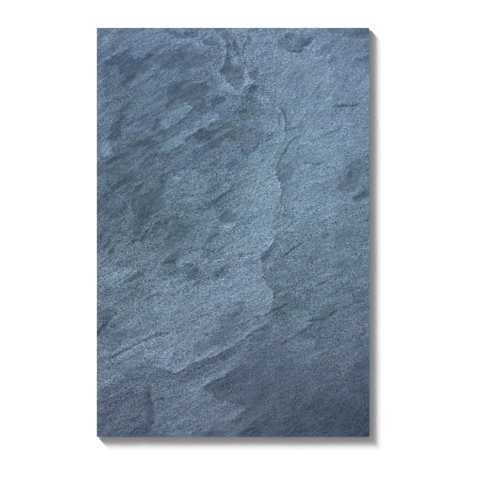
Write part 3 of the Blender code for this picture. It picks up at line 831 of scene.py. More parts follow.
# %% Torn places: each clean break is a place, a radius, and how much less it frays
CLEAN_BREAKS = [(205, 535, 50, 0.6), (280, 440, 45, 0.7), (288, 272, 22, 0.8), (224, 420, 22, 0.6)]
NIBBLE = 1.9
COMB = 3.4

rough = np.ones(x.shape)
for px, py, radius, less in CLEAN_BREAKS:
    rough -= less * spot(px, py, radius)
fray_x = NIBBLE * rough * grain_noise(12, 8, 1.5, 4)
fray_y = NIBBLE * rough * grain_noise(12, 8, 7.5, 4)
comb = COMB * rough * grain_noise(26, 2.6, 5.5, 3)
torn_x = x + fray_x + comb * np.cos(angle)
torn_y = y + fray_y + comb * np.sin(angle)
print("edges fray by up to", round(float(np.abs(torn_x - x).max()), 1), "mm")

# %% [markdown]
# ## How far away is it?
#
# Every mark asks the same of a point: how far is it from this chain, on which side of it, and
# how far along? One function answers for all the points together. It tries each stretch of
# the chain in turn, and keeps the nearest. A patch must also know which points are inside, so
# it counts how often a level line from the point crosses the outline.

# %% Distances, in millimetres
PATCH_REACH = 9
STREAK_REACH = 4
TAPER = 0.7


def walk(chain, px, py):
    """For each place: its distance from the chain, +1 or -1 for left or right of it, and how
    far along it lies, in points."""
    distance = np.full(px.shape, 1e6)
    side = np.ones(px.shape)
    place = np.zeros(px.shape)
    for index, (start, end) in enumerate(zip(chain, chain[1:])):
        dx, dy = end[0] - start[0], end[1] - start[1]
        from_x, from_y = px - start[0], py - start[1]
        t = np.clip((from_x * dx + from_y * dy) / (dx * dx + dy * dy), 0, 1)
        here = np.hypot(from_x - t * dx, from_y - t * dy)
        closer = here < distance
        distance[closer] = here[closer]
        side[closer] = np.sign(dx * from_y - dy * from_x)[closer]
        place[closer] = index + t[closer]
    return distance, side, place


def near_to(points, reach):
    """The numbers of the face's points that are within reach of a drawn mark."""
    xs, ys = [point[0] for point in points], [point[1] for point in points]
    across = (torn_x > min(xs) - reach) & (torn_x < max(xs) + reach)
    return np.flatnonzero(across & (torn_y > min(ys) - reach) & (torn_y < max(ys) + reach))


def patch_mark(outline):
    """The points near a patch, and how far inside its edge each one lies."""
    near = near_to(outline, PATCH_REACH)
    px, py = torn_x[near], torn_y[near]
    distance = walk(outline + outline[:1], px, py)[0]
    inside = np.zeros(px.shape, bool)
    for (x1, y1), (x2, y2) in zip(outline, outline[1:] + outline[:1]):
        if y1 != y2:
            inside ^= ((y1 > py) != (y2 > py)) & (px < x1 + (py - y1) * (x2 - x1) / (y2 - y1))
    return near, np.where(inside, distance, -distance)


def streak_mark(chain, width):
    """The points near a streak, how far outside it each one lies, and its weight there."""
    near = near_to(chain, width + STREAK_REACH)
    distance, _, place = walk(chain, torn_x[near], torn_y[near])
    from_middle = 2 * place / (len(chain) - 1) - 1
    half = width / 2 * np.sqrt(1 - TAPER * from_middle**2)
    return near, distance - half, 1 - ramp(distance, half * 0.4, half + 1.0)


print("a point 3 mm from a chain:", walk([(0, 0), (9, 0)], np.array([4.0]), np.array([3.0]))[0])

# %% [markdown]
# ## Relief and tone
#
# Heights add up from the largest to the smallest: a slow swell, the ledges, the torn beds,
# the drawn flakes and hollows, and last the fine grit. They come to a few tenths of a
# millimetre. Light that comes in low makes even that plain. Tone is added up beside them, in
# doublings of brightness, because what is high is also bruised pale and what is low is dark.

# %% Beds: kind, leaves torn through, then the length, width, seed and octaves of their noise
BEDS = [
    ("streaky", 3.0, 90, 26, 20.5, 4),
    ("streaky", 2.0, 45, 15, 24.5, 3),
    ("streaky", 1.4, 24, 10, 22.5, 2),
    ("scalloped", 3.2, 60, 38, 28.5, 4),
    ("scalloped", 2.0, 28, 18, 32.5, 3),
    ("scalloped", 1.5, 14, 10, 36.5, 2),
]
bed_weights = {
    "streaky": 0.68 * np.clip(spot(70, 500, 150) + 0.3, 0, 1),
    "scalloped": 0.80 * np.clip(spot(120, 330, 110) + 0.2, 0, 1),
}
print(len(BEDS), "sets of torn beds")

# %% Where the stone is coarse: each area is a place, a radius, and how much coarser it is
COARSE_AREAS = [
    (60, 90, 120, 0.16), (35, 295, 60, 0.30), (160, 240, 40, 0.30), (35, 500, 35, 0.35),
    (258, 500, 22, 0.35), (205, 420, 30, 0.30), (15, 195, 40, 0.38), (330, 190, 45, 0.30),
    (330, 255, 40, 0.15), (120, 60, 40, 0.20), (175, 335, 25, 0.20), (255, 135, 22, 0.20),
    (50, 530, 110, -0.32), (75, 415, 55, -0.32), (30, 365, 45, -0.25), (300, 35, 90, -0.24),
    (350, 540, 40, -0.16), (298, 385, 24, -0.22), (200, 100, 35, -0.18), (215, 220, 25, -0.16),
    (112, 298, 26, -0.24), (345, 415, 26, -0.16), (20, 222, 22, 0.28), (180, 222, 20, -0.30),
    (222, 225, 18, 0.28), (20, 340, 22, -0.30), (216, 340, 20, -0.24), (88, 460, 32, -0.30),
    (260, 500, 20, 0.30), (340, 460, 22, 0.26), (300, 540, 20, -0.32), (372, 540, 26, -0.20),
    (180, 562, 28, 0.24), (300, 100, 20, 0.40), (222, 60, 20, -0.36), (244, 18, 24, -0.26),
    (262, 140, 18, 0.22), (180, 142, 18, 0.22), (18, 158, 20, 0.22), (302, 182, 18, 0.24),
    (20, 572, 30, 0.14), (180, 535, 16, 0.14),
]
coarseness = 0.85 + 0.34 * grain_noise(45, 25, 70.5, 2)
for px, py, radius, change in COARSE_AREAS:
    coarseness += change * spot(px, py, radius)
print("coarseness averages", round(float(coarseness.mean()), 2))

# %% Where it is calm or steep, and the first relief, tone and tint
SWELL = 0.12

relief = SWELL * grain_noise(110, 55, 2.5, 2)
tone = np.zeros(x.shape)
calm = ramp(x, 230, 300) * ramp(y, 150, 260)
foot_left = ramp(y, 300, 200) * ramp(x, 240, 160)
vivid = 1 - 0.4 * calm - 0.3 * foot_left
steep = ramp(x, 215, 290) * ramp(y, 385, 470)
red = 0.14 * vivid * grain_noise(20, 13, 80.5, 3)
blue = 0.11 * vivid * grain_noise(20, 13, 90.5, 3)
print("the swell spans", round(float(np.ptp(relief)), 2), "mm")

# %% [markdown]
# ## Torn edges
#
# An edge is not equally sharp all along. Some stretches are ragged, some catch a painted
# highlight, some have a foot darkened by dust and painted shade, and some have rubbed away,
# and each of these comes from its own noise. Only the soft bands of tone to either side of a
# ledge are added up here: the bruised pale lip, and the foot darkened by dust and painted
# shade. The line of an edge is finer than the grid, so each point just notes its nearest
# edge, and the finish draws that edge later.

# %% How each edge is worn
ragged = np.clip(1 + 0.7 * grain_noise(30, 20, 55.5, 3), 0.2, 1.6)
lit = np.clip(0.7 + 1.2 * grain_noise(22, 15, 57.5, 3), 0, 1.6)
dust_and_shade = np.clip(0.7 + 1.2 * grain_noise(22, 15, 59.5, 3), 0, 1.6)
worn = ramp(grain_noise(26, 18, 53.5, 2), -0.3, 0.6)

FAR_OFF = 99.0
edge_reach = np.full(x.shape, FAR_OFF)
edge_lip = np.zeros(x.shape)
edge_foot = np.zeros(x.shape)


def note_edge(near, reach, lip, foot):
    """Keeps the nearest torn edge to each point: how far up it lies, and the edge's tones."""
    closer = np.abs(reach) < np.abs(edge_reach[near])
    chosen = near[closer]
    edge_reach[chosen] = reach[closer]
    edge_lip[chosen] = lip[closer]
    edge_foot[chosen] = foot[closer]


print(f"{(worn > 0.5).mean():.0%} of the face has worn edges")

# %% The ledges
LIP_WIDTH = 4.5
FOOT_WIDTH = 6.0
SIDE_TONE = 0.7
LIP_LINE = 1.3
FOOT_LINE = 1.6
STEP_WIDTH = 1.1
LEAF_EASE = 26.0

everywhere = np.arange(x.size)
for lip, foot, step, chain in LEDGES:
    distance, side, place = walk(chain, torn_x, torn_y)
    strength = np.interp(place, range(len(chain)), [point[2] for point in chain]) * ragged
    fall = strength * step / 2 * np.exp(-distance / LEAF_EASE)
    relief += fall * np.clip(side * distance / STEP_WIDTH, -1, 1)
    # Pale bruised lip on the high side; on the low side a foot darkened by dust and by painted shade.
    tone += strength * SIDE_TONE * lip * np.exp(-distance / LIP_WIDTH) * (side > 0)
    tone += strength * SIDE_TONE * foot * np.exp(-distance / FOOT_WIDTH) * (side < 0)
    lip_line, foot_line = LIP_LINE * strength * lip, FOOT_LINE * strength * foot
    note_edge(everywhere, side * distance, lip_line, foot_line)
print("the ledges raise the relief to", round(float(np.ptp(relief)), 2), "mm")

# %% The torn beds
BED_STEP = 0.030
LEAST_SLOPE = 0.004
BED_EDGE_WIDTH = 1.2

beds = []
for kind, leaves_torn, *blotches in BEDS:
    field = leaves_torn * grain_noise(*blotches)
    climb_y, climb_x = np.gradient(field.reshape(ROWS + 1, COLUMNS + 1), CELL)
    climb_x, climb_y = climb_x.ravel(), climb_y.ravel()
    slope = np.hypot(climb_x, climb_y) + LEAST_SLOPE
    # shaded: 1 where a leaf's edge drops away from the light at the upper left, -1 where it drops
    # toward it.
    shaded = (climb_y - climb_x) / slope / math.sqrt(2)
    next_leaf = np.floor(field) + 1
    torn_off = ramp((next_leaf - field) / slope, 0, BED_EDGE_WIDTH)
    relief += BED_STEP * bed_weights[kind] * (next_leaf - torn_off)
    beds.append((field, slope, shaded))
print("relief spans", round(float(np.ptp(relief)), 2), "mm")

# %% [markdown]
# ## Patches and streaks
#
# A patch is let into the face or stands on it, so the edge turned to the light gets a painted
# highlight, and the edge turned away gets painted shade with some dust. It is crisp on the side
# turned from the light and fades out on the side turned to it, as a flake does where it thins
# to nothing. A streak simply darkens or lightens its own width.

# %% The patches
PATCH_STRENGTH = 1.2
SHARPEST = 0.4
EDGE_BLUR = 1.5
WORN_BLUR = 3
LEAST_BLUR = 0.001
FEATHER = 0.38

marks = []
mottle = 1 + 0.35 * grain_noise(14, 9, 45.5, 3)
for kind, stops, outline in PATCHES:
    near, reach = patch_mark(outline)
    up = np.sign(stops) * reach
    across = [py - px for px, py in outline]
    middle, half = (max(across) + min(across)) / 2, (max(across) - min(across)) / 2
    # shade: 1 on the patch's side turned away from the light at the upper left, -1 on the side turned
    # to it.
    shade = -np.sign(stops) * np.clip((torn_y[near] - torn_x[near] - middle) / half, -1, 1)
    crisp = (1 - 0.8 * worn[near]) * min(abs(stops), SHARPEST)
    # A painted highlight on the edge turned to the light, and painted shade with some dust at the foot
    # of the edge turned away.
    bright = crisp * lit[near] * (0.7 - 0.3 * shade)
    note_edge(near, up, bright, -crisp * dust_and_shade[near] * (0.5 + 0.5 * shade))
    # Crisp on the shaded side and fading out on the lit side.
    blur = EDGE_BLUR + WORN_BLUR * worn[near] - EDGE_BLUR * shade
    weight = mottle[near] * ramp(reach / np.maximum(blur, LEAST_BLUR), -1.0, 1.2)
    weight *= 1 - FEATHER * ramp(shade, 0.2, -1.0)
    tone[near] += PATCH_STRENGTH * stops * weight
    marks.append((kind, stops, near, weight))
print(len(marks), "patches laid")

# %% The streaks
line_reach = np.full(x.shape, FAR_OFF)
line_tone = np.zeros(x.shape)
for kind, stops, width, chain in STREAKS:
    near, reach, weight = streak_mark(chain, width)
    closer = reach < line_reach[near]
    line_reach[near[closer]] = reach[closer]
    line_tone[near[closer]] = stops
    marks.append((kind, stops, near, weight))
print(len(marks) - len(PATCHES), "streaks laid")

# %% What each kind of mark does to the stone
RELIEF_PER_DOUBLING = 0.09
RED_PER_DOUBLING = 0.05

for kind, stops, near, weight in marks:
    coarser, redder, bluer = KINDS[kind]
    relief[near] += RELIEF_PER_DOUBLING * stops * weight
    coarseness[near] += coarser * weight
    red[near] += (redder + RED_PER_DOUBLING * min(stops, 0)) * weight
    blue[near] += bluer * weight
print("relief now spans", round(float(np.ptp(relief)), 2), "mm")

# %% [markdown]
# ## Broad tone, colour and grain
#
# Last come the things with no outline: the bands, a slow drift of colour from the mauve foot
# to the bluer head, and the grain itself. The grain is noise at several sizes, from clouds
# of seven centimetres down to grit of a few millimetres. At the upper right the bed is
# bent, so one layer of the grain there takes a steeper turn.

# %% The bands, and how the colour drifts over the sheet
for x1, y1, x2, y2, radius, stops in BANDS:
    distance = walk([(x1, y1), (x2, y2)], x, y)[0]
    tone += stops * np.exp(-((distance / radius) ** 2))
red += 0.14 * ramp(y, 330, 60) - 0.06
red += 0.04 * ramp(x, 90, 0) - 0.05 * spot(330, 380, 90)
red += 0.035 * ramp(y, 490, 550) - 0.03 * spot(60, 100, 90) - 0.03 * spot(350, 110, 90)
blue += 0.09 * ramp(y, 380, 600) - 0.09 * spot(50, 240, 130)
blue -= 0.05 * ramp(x, 150, 260) * ramp(y, 100, 200) + 0.04 * spot(60, 330, 90)
blue += 0.045 * ramp(x, 250, 380) * ramp(y, 340, 440)
print("red spans", round(float(red.min()), 2), "to", round(float(red.max()), 2), "doublings")

# %% The grain: each layer is a strength in doublings, then the shape of its noise
STEEP_TURN = math.radians(26)
RIB_HEIGHT = 0.012
GRIT_HEIGHT = 0.030

busy = 1 - 0.45 * spot(90, 500, 150) + 0.4 * spot(340, 300, 110)
grain_layers = [
    (0.18 * busy * (1 - 0.7 * calm), 70, 30, 60.5, 3),
    (0.26 * busy * (1 - 0.6 * steep), 24, 10, 64.5, 4),
    (0.22 * steep, 34, 8, 66.5, 4, STEEP_TURN),
    (0.24 * foot_left, 32, 4.6, 68.5, 4),
]
for strength, *blotches in grain_layers:
    tone += strength * grain_noise(*blotches)
grit = grain_noise(4.2, 2.8, 50.5, 2)
coarseness = np.clip(coarseness, 0.05, 1.2)
tone += grit * (0.24 + 0.04 * ramp(y, 300, 200)) * (0.3 + 0.7 * coarseness)
relief += RIB_HEIGHT * grain_noise(34, 3.0, 40.5, 3)
relief += GRIT_HEIGHT * grit * (0.25 + 0.75 * coarseness)
print("tone spans", round(float(tone.min()), 2), "to", round(float(tone.max()), 2))

# %% [markdown]
# ## From numbers to mesh
#
# The grid's vertices take their heights, and carry the other fields along as attributes that
# the finish reads. Then the sawn walls go down from the rim, and one face closes the
# underside. The extrude copies each vertex's attributes, so the walls are tinted too.

# %% Heights and fields on the grid
HEADROOM = 0.00025
LONGEST_REACH = 20

heights = stone_high.z - HEADROOM + relief * MM
heights -= max(0.0, float(heights.max()) - stone_high.z)

fields = {
    "grain": (u * MM, v * MM, np.zeros(x.shape)),
    "look": (tone, coarseness, bed_weights["streaky"]),
    "tint": (red, blue, bed_weights["scalloped"]),
    "edge": (np.clip(edge_reach, -LONGEST_REACH, LONGEST_REACH), edge_lip, edge_foot),
    "line": (np.clip(line_reach, -LONGEST_REACH, LONGEST_REACH), line_tone, steep),
}
fields |= {f"bed_{number}": bed for number, bed in enumerate(beds)}
for name, numbers in fields.items():
    layer = face.verts.layers.float_vector.new(name)
    for vertex, vector in zip(face.verts, zip(*numbers)):
        vertex[layer] = vector
for vertex, height in zip(face.verts, heights):
    vertex.co.z = height
print(len(fields), "fields on", len(face.verts), "points")

# %% The stone piece
RESIN_GAP = 0.0002


def to_object(form, name):
    """Turns a finished bmesh into an object of the scene."""
    mesh = bpy.data.meshes.new(name)
    form.to_mesh(mesh)
    form.free()
    made = bpy.data.objects.new(name, mesh)
    bpy.context.collection.objects.link(made)
    return made


stone_foot = backing_high.z + RESIN_GAP
rim = [edge for edge in face.edges if edge.is_boundary]
walls = bmesh.ops.extrude_edge_only(face, edges=rim)["geom"]
wall_foot = [item for item in walls if isinstance(item, bmesh.types.BMVert)]
for vertex in wall_foot:
    vertex.co.z = stone_foot
foot_edges = [item for item in walls if isinstance(item, bmesh.types.BMEdge) and item.is_boundary]
bmesh.ops.contextual_create(face, geom=foot_edges)
bmesh.ops.recalc_face_normals(face, faces=face.faces)
slate = to_object(face, "cleft_slate")
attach(slate, "root")
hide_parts("slate_layer")
print(len(slate.data.polygons), "faces")

# %% [markdown]
# ## Writing a finish as arithmetic
#
# A Blender material is a graph of nodes, which gets hard to read once it does real maths.
# The class below wraps a socket, so that a line such as `1 - mask * 0.5` adds the Math
# nodes it needs. Every other node comes from one method: its type, its settings, and then
# what its sockets are given.


# %% A wire that does arithmetic
class Wire:
    """A socket's output in a material, with operators that add Math nodes."""

    def __init__(self, socket):
        self.socket = socket

    def math(self, operation, first, second=0.0):
        tree = self.socket.id_data
        node = tree.nodes.new("ShaderNodeMath")
        node.operation = operation
        for slot, value in zip(node.inputs, (first, second)):
            feed(slot, value)
        return Wire(node.outputs[0])

    def __add__(self, other):
        return self.math("ADD", self, other)

    def __radd__(self, other):
        return self.math("ADD", other, self)

    def __sub__(self, other):
        return self.math("SUBTRACT", self, other)

    def __rsub__(self, other):
        return self.math("SUBTRACT", other, self)

    def __mul__(self, other):
        return self.math("MULTIPLY", self, other)

    def __rmul__(self, other):
        return self.math("MULTIPLY", other, self)

    def __truediv__(self, other):
        return self.math("DIVIDE", self, other)

    def __pow__(self, other):
        return self.math("POWER", self, other)

    def __rpow__(self, other):
        return self.math("POWER", other, self)

    def above(self, limit):
        return self.math("MAXIMUM", self, limit)

    def below(self, limit):
        return self.math("MINIMUM", self, limit)

    def clamp(self):
        return self.above(0.0).below(1.0)

    def size(self):
        return self.math("ABSOLUTE", self)

    def sign(self):
        return self.math("SIGN", self)

    def sine(self):
        return self.math("SINE", self)


def feed(slot, value):
    """Links a wire to a node's input, or sets the input to a plain value."""
    if isinstance(value, Wire):
        slot.id_data.links.new(value.socket, slot)
    else:
        slot.default_value = value


print("a wire has", len([name for name in vars(Wire) if name[0] != "_"]), "named operations")


# %% A graph with one shader
class Graph:
    """A node tree with one shader, and the method that adds every other node."""

    def __init__(self, owner, shader):
        self.owner = owner
        self.owner.use_nodes = True
        self.tree = self.owner.node_tree
        self.shader = self.tree.nodes[shader]

    def node(self, kind, settings, inputs, output=0):
        made = self.tree.nodes.new(kind)
        for key, value in settings.items():
            setattr(made, key, value)
        slots = {slot.identifier: slot for slot in made.inputs}
        for key, value in inputs.items():
            feed(slots[key], value)
        return Wire(made.outputs[output])

    def set(self, **inputs):
        for key, value in inputs.items():
            feed(self.shader.inputs[key.replace("_", " ")], value)

    def noise(self, place, scale, detail=2.0, roughness=0.5, stretch=(1.0, 1.0, 1.0)):
        drawn = self.node(
            "ShaderNodeVectorMath", {"operation": "MULTIPLY"}, {"Vector": place, "Vector_001": stretch}
        )
        inputs = {"Vector": drawn, "Scale": scale, "Detail": detail, "Roughness": roughness}
        return self.node("ShaderNodeTexNoise", {}, inputs)

    def field(self, name):
        """One of the mesh's own fields, as a vector."""
        return self.node("ShaderNodeAttribute", {"attribute_name": name}, {}, output=1)

    def parts(self, vector):
        """The three numbers of a vector."""
        split = self.node("ShaderNodeSeparateXYZ", {}, {"Vector": vector}).socket.node
        return [Wire(output) for output in split.outputs]

    def mix(self, factor, first, second):
        inputs = {"Factor_Float": factor, "A_Color": first, "B_Color": second}
        return self.node("ShaderNodeMix", {"data_type": "RGBA"}, inputs, output=2)

    def coordinates(self, kind):
        """Generated, Normal or Object coordinates."""
        outputs = {"Generated": 0, "Normal": 1, "Object": 3}
        return self.node("ShaderNodeTexCoord", {}, {}, outputs[kind])

    def sideways(self):
        """A mask that is 1 on walls and 0 on level faces."""
        _, _, facing = self.parts(self.coordinates("Normal"))
        return (1.5 - facing.size() * 3.0).clamp()

    def bump(self, height, distance):
        inputs = {"Strength": 1.0, "Distance": distance, "Height": height}
        return self.node("ShaderNodeBump", {}, inputs)


print("a graph has", len([name for name in vars(Graph) if name[0] != "_"]), "methods")

# %% [markdown]
# ## The slate's finish
#
# Slate is clay pressed until its mica flakes all lie one way. So its colour is a dull
# blue-grey with dark pits and pale scales, each a millimetre or two long, and faint streaks
# that run along the grain. Freshly bared patches are smoother and browner than weathered
# ones. The pits are also low and the scales high, so the same noise feeds the bump. At the
# upper right the bed is bent, and the streaks turn steeper.
#
# Brightness is added up in doublings here too, and one power of two turns the sum into a
# colour at the end. Red and blue get their own shifts on top, because slate is not grey, and
# a pale grain is a little warmer than a dark one.

# %% The slate, and what it reads from the mesh
stone_finish = Graph(bpy.data.materials.new("cleft_slate"), "Principled BSDF")
grain = stone_finish.field("grain")
tone_wire, coarse_wire, streaky_wire = stone_finish.parts(stone_finish.field("look"))
red_wire, blue_wire, scalloped_wire = stone_finish.parts(stone_finish.field("tint"))
fray = stone_finish.noise(grain, 330.0, 3.0, 0.6, (0.7, 1.0, 1.0)) - 0.5
print("the slate starts with", len(stone_finish.tree.nodes), "nodes")

# %% Torn edges, drawn finer than the mesh
EDGE_FRAY = 5.0
LINE_FRAY = 2.5
EDGE_FADE = 0.55

reach, lip_tone, foot_tone = stone_finish.parts(stone_finish.field("edge"))
torn = reach + fray * EDGE_FRAY
above = (torn * 1.2 + 0.5).clamp()
pale = above * 2.0 ** (torn.above(0.0) * -EDGE_FADE)
dark = (1.0 - above) * 2.0 ** (torn.below(0.0) * EDGE_FADE)
# Lips are bruised pale and feet dark with dust; along patches they also carry painted highlights and
# painted shade.
edges = pale * lip_tone + dark * foot_tone

reach, line_tone_wire, steep_wire = stone_finish.parts(stone_finish.field("line"))
lines = (0.6 - (reach + fray * LINE_FRAY) * 0.9).clamp() * line_tone_wire
# Dark edges and lines, painted shade among them, turn a little cooler.
cool = (edges + lines).below(0.0) * 0.05
print("edges and lines bring it to", len(stone_finish.tree.nodes), "nodes")

# %% The leaves of the torn beds, each with its own shade
LEAF_FRAY = 0.45
LIP_FADE = 0.9
FOOT_FADE = 0.8
OWN_SHADE = 0.26
SEED_STEP = 37.0

leaves = None
for number, (kind, *_) in enumerate(BEDS):
    height, slope, shaded = stone_finish.parts(stone_finish.field(f"bed_{number}"))
    height = height + fray * LEAF_FRAY
    level = height.math("FLOOR", height)
    part = height - level
    pale = 2.0 ** (part / slope * -LIP_FADE)
    dark = 2.0 ** ((1.0 - part) / slope * -FOOT_FADE)
    chance = {"W": level + number * SEED_STEP}
    own = stone_finish.node("ShaderNodeTexWhiteNoise", {"noise_dimensions": "1D"}, chance) - 0.5
    # A leaf's lip is bruised pale with a painted highlight where it faces the light, and its foot is
    # dust with painted shade where it drops away.
    leaf = pale * (0.18 - shaded * 0.08) - dark * (0.22 + shaded * 0.16) + own * OWN_SHADE
    leaf = leaf * (streaky_wire if kind == "streaky" else scalloped_wire)
    leaves = leaf if leaves is None else leaves + leaf
print(len(BEDS), "beds bring it to", len(stone_finish.tree.nodes), "nodes")

# %% Grains and pits
STREAK_NOISE = {"scale": 300.0, "detail": 3.0, "roughness": 0.6, "stretch": (0.12, 1.0, 1.0)}
PIT_RIM = 0.60
PIT_DEPTH = 4.0

speck = stone_finish.noise(grain, 520.0, 2.0, 0.7, (0.8, 1.1, 1.0)) - 0.5
flat_streak = stone_finish.noise(grain, **STREAK_NOISE)
turned = stone_finish.node(
    "ShaderNodeVectorRotate", {"rotation_type": "Z_AXIS"}, {"Vector": grain, "Angle": -STEEP_TURN}
)
steep_streak = stone_finish.noise(turned, **STREAK_NOISE)
streak = flat_streak + (steep_streak - flat_streak) * steep_wire - 0.5
pit = (stone_finish.noise(grain, 400.0, 1.0, 0.6, (0.8, 1.2, 1.0)) - PIT_RIM).clamp() * 5.0
pit = pit * coarse_wire * (1.0 - steep_wire * 0.75)
grains = speck * (1.3 + coarse_wire * 3.7) + streak * (1.1 + steep_wire * 0.3) - pit * PIT_DEPTH
stops = tone_wire + edges + lines + leaves + grains
print("grains and pits bring it to", len(stone_finish.tree.nodes), "nodes")

# %% [markdown]
# ## The sawn walls
#
# The saw cuts straight across the leaves, so a wall shows them as fine level lines, and it
# is darker and greyer than the face: partly the colour of sawn slate, and partly painted
# shade that holds back the low sun, which strikes the walls far harder than the face. The
# walls share the face's material: a mask from the normal finds them, as they are the only
# part of the stone that looks sideways.

# %% The sawn walls
WALL_DARKER = 2.2

sawn = stone_finish.sideways()
place = stone_finish.coordinates("Object")
leaf_lines = stone_finish.noise(place, 60.0, 2.0, 0.6, (1.0, 1.0, 60.0))
# The walls are darker than the face: partly sawn slate's own colour, partly painted shade against the
# low sun.
stops = stops * (1.0 - sawn) + (leaf_lines * 1.6 - WALL_DARKER) * sawn
tinted = 1.0 - sawn * 0.5
grain_tint = grains * (1.0 - sawn)
print("the walls bring it to", len(stone_finish.tree.nodes), "nodes")

# %% The colour: red and blue shift for the whole stone, and then by its tone and its grain
SLATE_GREEN = 0.1703
RED_SHIFT, RED_BY_TONE, RED_BY_GRAIN = -0.522, 0.05, 0.19
BLUE_SHIFT, BLUE_BY_TONE, BLUE_BY_GRAIN = 0.492, -0.04, -0.12

green = SLATE_GREEN * 2.0**stops
redder = red_wire + stops * RED_BY_TONE + grain_tint * RED_BY_GRAIN + cool + tinted * RED_SHIFT
bluer = blue_wire + stops * BLUE_BY_TONE + grain_tint * BLUE_BY_GRAIN - cool + tinted * BLUE_SHIFT
primaries = {"Red": green * 2.0**redder, "Green": green, "Blue": green * 2.0**bluer}
colour = stone_finish.node("ShaderNodeCombineColor", {}, primaries)
print("the colour brings it to", len(stone_finish.tree.nodes), "nodes")

# %% The relief of the grain, and the shader
GRAIN_RELIEF = 0.00011

bump_height = speck * (0.2 + coarse_wire * 0.8) + streak * 0.3 - pit * 0.4
stone_finish.set(Base_Color=colour, Normal=stone_finish.bump(bump_height, GRAIN_RELIEF))
stone_finish.set(Roughness=0.88 - coarse_wire * 0.08 + speck * 0.2)
stone_finish.set(Metallic=0.0, Specular_IOR_Level=0.01)
slate.data.materials.append(stone_finish.owner)
print("the slate has", len(stone_finish.tree.nodes), "nodes in all")

# %% [markdown]
# ## The backing
#
# The back is glass cloth in polyester resin. On the real sheet it is laid on wet, so that
# the resin fills the weave and only the crowns of the threads stand out. Its edge is sawn
# together with the stone, and the saw leaves it a little uneven. The piece is a grid again:
# it is extruded upwards to the stone, and its sharp rims are bevelled.

# %% The backing piece
BACK_CELL = 5.0
EDGE_WEAR = 0.22
WEAR_WAVES = 60.0
RIM_ANGLE = 1.0
RIM_BEVEL = 0.00010

cloth = sheet_grid(round(WIDTH / BACK_CELL), round(LENGTH / BACK_CELL))
for vertex in cloth.verts:
    vertex.co.z = backing_low.z
    if vertex.is_boundary:
        wear = EDGE_WEAR * MM * (0.5 + 0.5 * noise.noise(vertex.co * WEAR_WAVES))
        vertex.co.x *= 1 - wear / (WIDTH / 2 * MM)
        vertex.co.y *= 1 - wear / (LENGTH / 2 * MM)
raised = bmesh.ops.extrude_face_region(cloth, geom=cloth.faces[:])["geom"]
for item in raised:
    if isinstance(item, bmesh.types.BMVert):
        item.co.z = stone_foot
bmesh.ops.recalc_face_normals(cloth, faces=cloth.faces)
rims = [edge for edge in cloth.edges if edge.calc_face_angle() > RIM_ANGLE]
bmesh.ops.bevel(
    cloth,
    geom=rims,
    offset=RIM_BEVEL,
    offset_type="OFFSET",
    segments=2,
    profile=0.5,
    affect="EDGES",
    material=-1,
)
backing = to_object(cloth, "glass_cloth")
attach(backing, "root")
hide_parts("glass_fibre_backing")
print(len(rims), "rims bevelled,", len(backing.data.polygons), "faces")

# %% [markdown]
# ## The backing's finish
#
# In a plain weave each thread goes over one crossing thread and under the next. So its height
# is a rounded section across the thread, times a wave along it, and the wave swaps sign from
# one thread to its neighbour. The higher of warp and weft is what shows. Broad noise says
# how much resin lies over the cloth, and how far the dark stone shows through it.

# %% The weave
THREAD_PITCH = 0.0034
THREAD_WANDER = 0.004

back_finish = Graph(bpy.data.materials.new("fibre_resin"), "Principled BSDF")
place = back_finish.coordinates("Object")
wander = back_finish.noise(place, 24.0, 2.0) * THREAD_WANDER
east, north, _ = back_finish.parts(place)
turn = math.pi / THREAD_PITCH
across_warp = ((east + wander) * turn).sine()
across_weft = ((north - wander) * turn).sine()
warp = across_warp.size() ** 0.6 * (across_warp.sign() * across_weft * 0.5 + 0.5)
weft = across_weft.size() ** 0.6 * (0.5 - across_weft.sign() * across_warp * 0.5)
warp_fibres = back_finish.noise(place, 1500.0, 2.0, 0.6, (1.0, 0.05, 1.0))
weft_fibres = back_finish.noise(place, 1500.0, 2.0, 0.6, (0.05, 1.0, 1.0))
warp_shows = warp.math("GREATER_THAN", warp, weft)
fibres = warp_fibres * warp_shows + weft_fibres * (1.0 - warp_shows)
crown = warp.math("MAXIMUM", warp, weft)
print("the weave takes", len(back_finish.tree.nodes), "nodes")

# %% Resin over the cloth, and the sawn edge
RESIN = (0.250, 0.247, 0.215, 1.0)
RESIN_ON_STONE = (0.150, 0.160, 0.165, 1.0)
THREAD_DEEP = (0.300, 0.300, 0.270, 1.0)
THREAD_PALE = (0.520, 0.515, 0.470, 1.0)
SAWN_RESIN_SHADED = (0.105, 0.105, 0.092, 1.0)
WEAVE_RELIEF = 0.00012

pooled = ((back_finish.noise(place, 14.0, 4.0, 0.6) - 0.40) * 4.0).clamp()
shows_through = ((back_finish.noise(place, 9.0, 3.0, 0.6) - 0.42) * 3.0).clamp()
resin = back_finish.mix(shows_through, RESIN, RESIN_ON_STONE)
thread = back_finish.mix(fibres, THREAD_DEEP, THREAD_PALE)
cover = (crown * 1.3 - 0.25).clamp() * (1.0 - pooled * 0.55)
underside = back_finish.mix(cover, resin, thread)
# The sawn edge is darker: partly sawn resin's own colour, partly painted shade against the low sun.
back_finish.set(Base_Color=back_finish.mix(back_finish.sideways(), underside, SAWN_RESIN_SHADED))
weave_height = (crown + fibres * 0.25) * (1.0 - pooled * 0.6)
back_finish.set(Normal=back_finish.bump(weave_height, WEAVE_RELIEF))
back_finish.set(Roughness=0.62 - pooled * 0.22 + cover * 0.1)
back_finish.set(Metallic=0.0, Specular_IOR_Level=0.3)
backing.data.materials.append(back_finish.owner)
print("the backing has", len(back_finish.tree.nodes), "nodes in all")

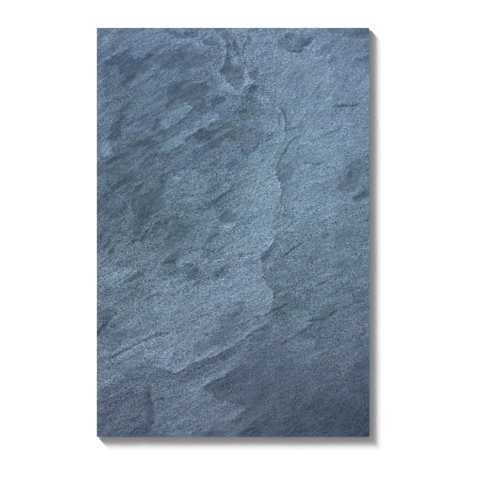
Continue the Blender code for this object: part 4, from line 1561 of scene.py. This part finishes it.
# %% [markdown]
# ## Floor, light and camera
#
# The sheet lies on a white floor, lifted a hair off it as a sheet that isn't quite flat is.
# The light is low and comes from the upper left, so that every ledge throws a short shadow.
# Two suns share one direction: the key has a narrow disc, and the spread has a wide one a
# little higher up, which softens the outer half of the shadow. The sky is white at the
# horizon and dims overhead, which keeps the shadows clear. The camera looks straight down
# through a long lens, so the sheet's sides stay parallel.

# %% Floor
FLOOR_SIZE = 40.0
FLOOR_GAP = 0.0006

floor = bmesh.new()
bmesh.ops.create_grid(floor, x_segments=1, y_segments=1, size=FLOOR_SIZE)
floor_object = to_object(floor, "floor")
floor_object.location.z = -FLOOR_GAP
floor_finish = Graph(bpy.data.materials.new("floor_white"), "Principled BSDF")
floor_finish.set(Base_Color=(0.9, 0.9, 0.9, 1.0), Roughness=0.9)
floor_object.data.materials.append(floor_finish.owner)
print("floor at", round(floor_object.location.z / MM, 1), "mm")

# %% Light: each sun's height and disc in degrees, and how strongly it lights level ground
SUN_TURN = math.radians(132.5)
SUNS = [("key", 7.7, 8.0, 0.60), ("spread", 10.3, 16.0, 0.30)]
for name, height, disc, share in SUNS:
    height = math.radians(height)
    lamp = bpy.data.lights.new(name, "SUN")
    lamp.energy = share * math.pi / math.sin(height)
    lamp.angle = math.radians(disc)
    lamp_object = bpy.data.objects.new(name, lamp)
    level = Vector((math.cos(SUN_TURN), math.sin(SUN_TURN), 0.0)) * math.cos(height)
    toward = level + Vector((0.0, 0.0, math.sin(height)))
    lamp_object.rotation_euler = toward.to_track_quat("Z", "Y").to_euler()
    bpy.context.collection.objects.link(lamp_object)
    print(name, "sun, strength", round(lamp.energy, 1))

# %% Sky
SKY_OVERHEAD = 0.22
SKY_HORIZON = 0.90
SKY_FADE = -4.0

sky = Graph(bpy.data.worlds.new("studio"), "Background")
bpy.context.scene.world = sky.owner
_, _, upward = sky.parts(sky.coordinates("Generated"))
dimming = math.e ** (upward.above(0.0) * SKY_FADE)
sky.set(Color=(1.0, 1.0, 1.0, 1.0), Strength=SKY_OVERHEAD + SKY_HORIZON * dimming)
bpy.context.scene.view_settings.view_transform = "Standard"
print("sky takes", len(sky.tree.nodes), "nodes")

# %% Camera
SPAN = 0.70385
CENTRE = (0.01026, -0.01133)
LENS = 100.0
SENSOR = 36.0

camera = bpy.data.cameras.new("camera")
camera.lens = LENS
camera.sensor_width = SENSOR
camera_object = bpy.data.objects.new("camera", camera)
camera_object.location = (*CENTRE, SPAN * LENS / SENSOR + stone_high.z)
bpy.context.collection.objects.link(camera_object)
bpy.context.scene.camera = camera_object
print("camera", round(camera_object.location.z, 2), "m up")
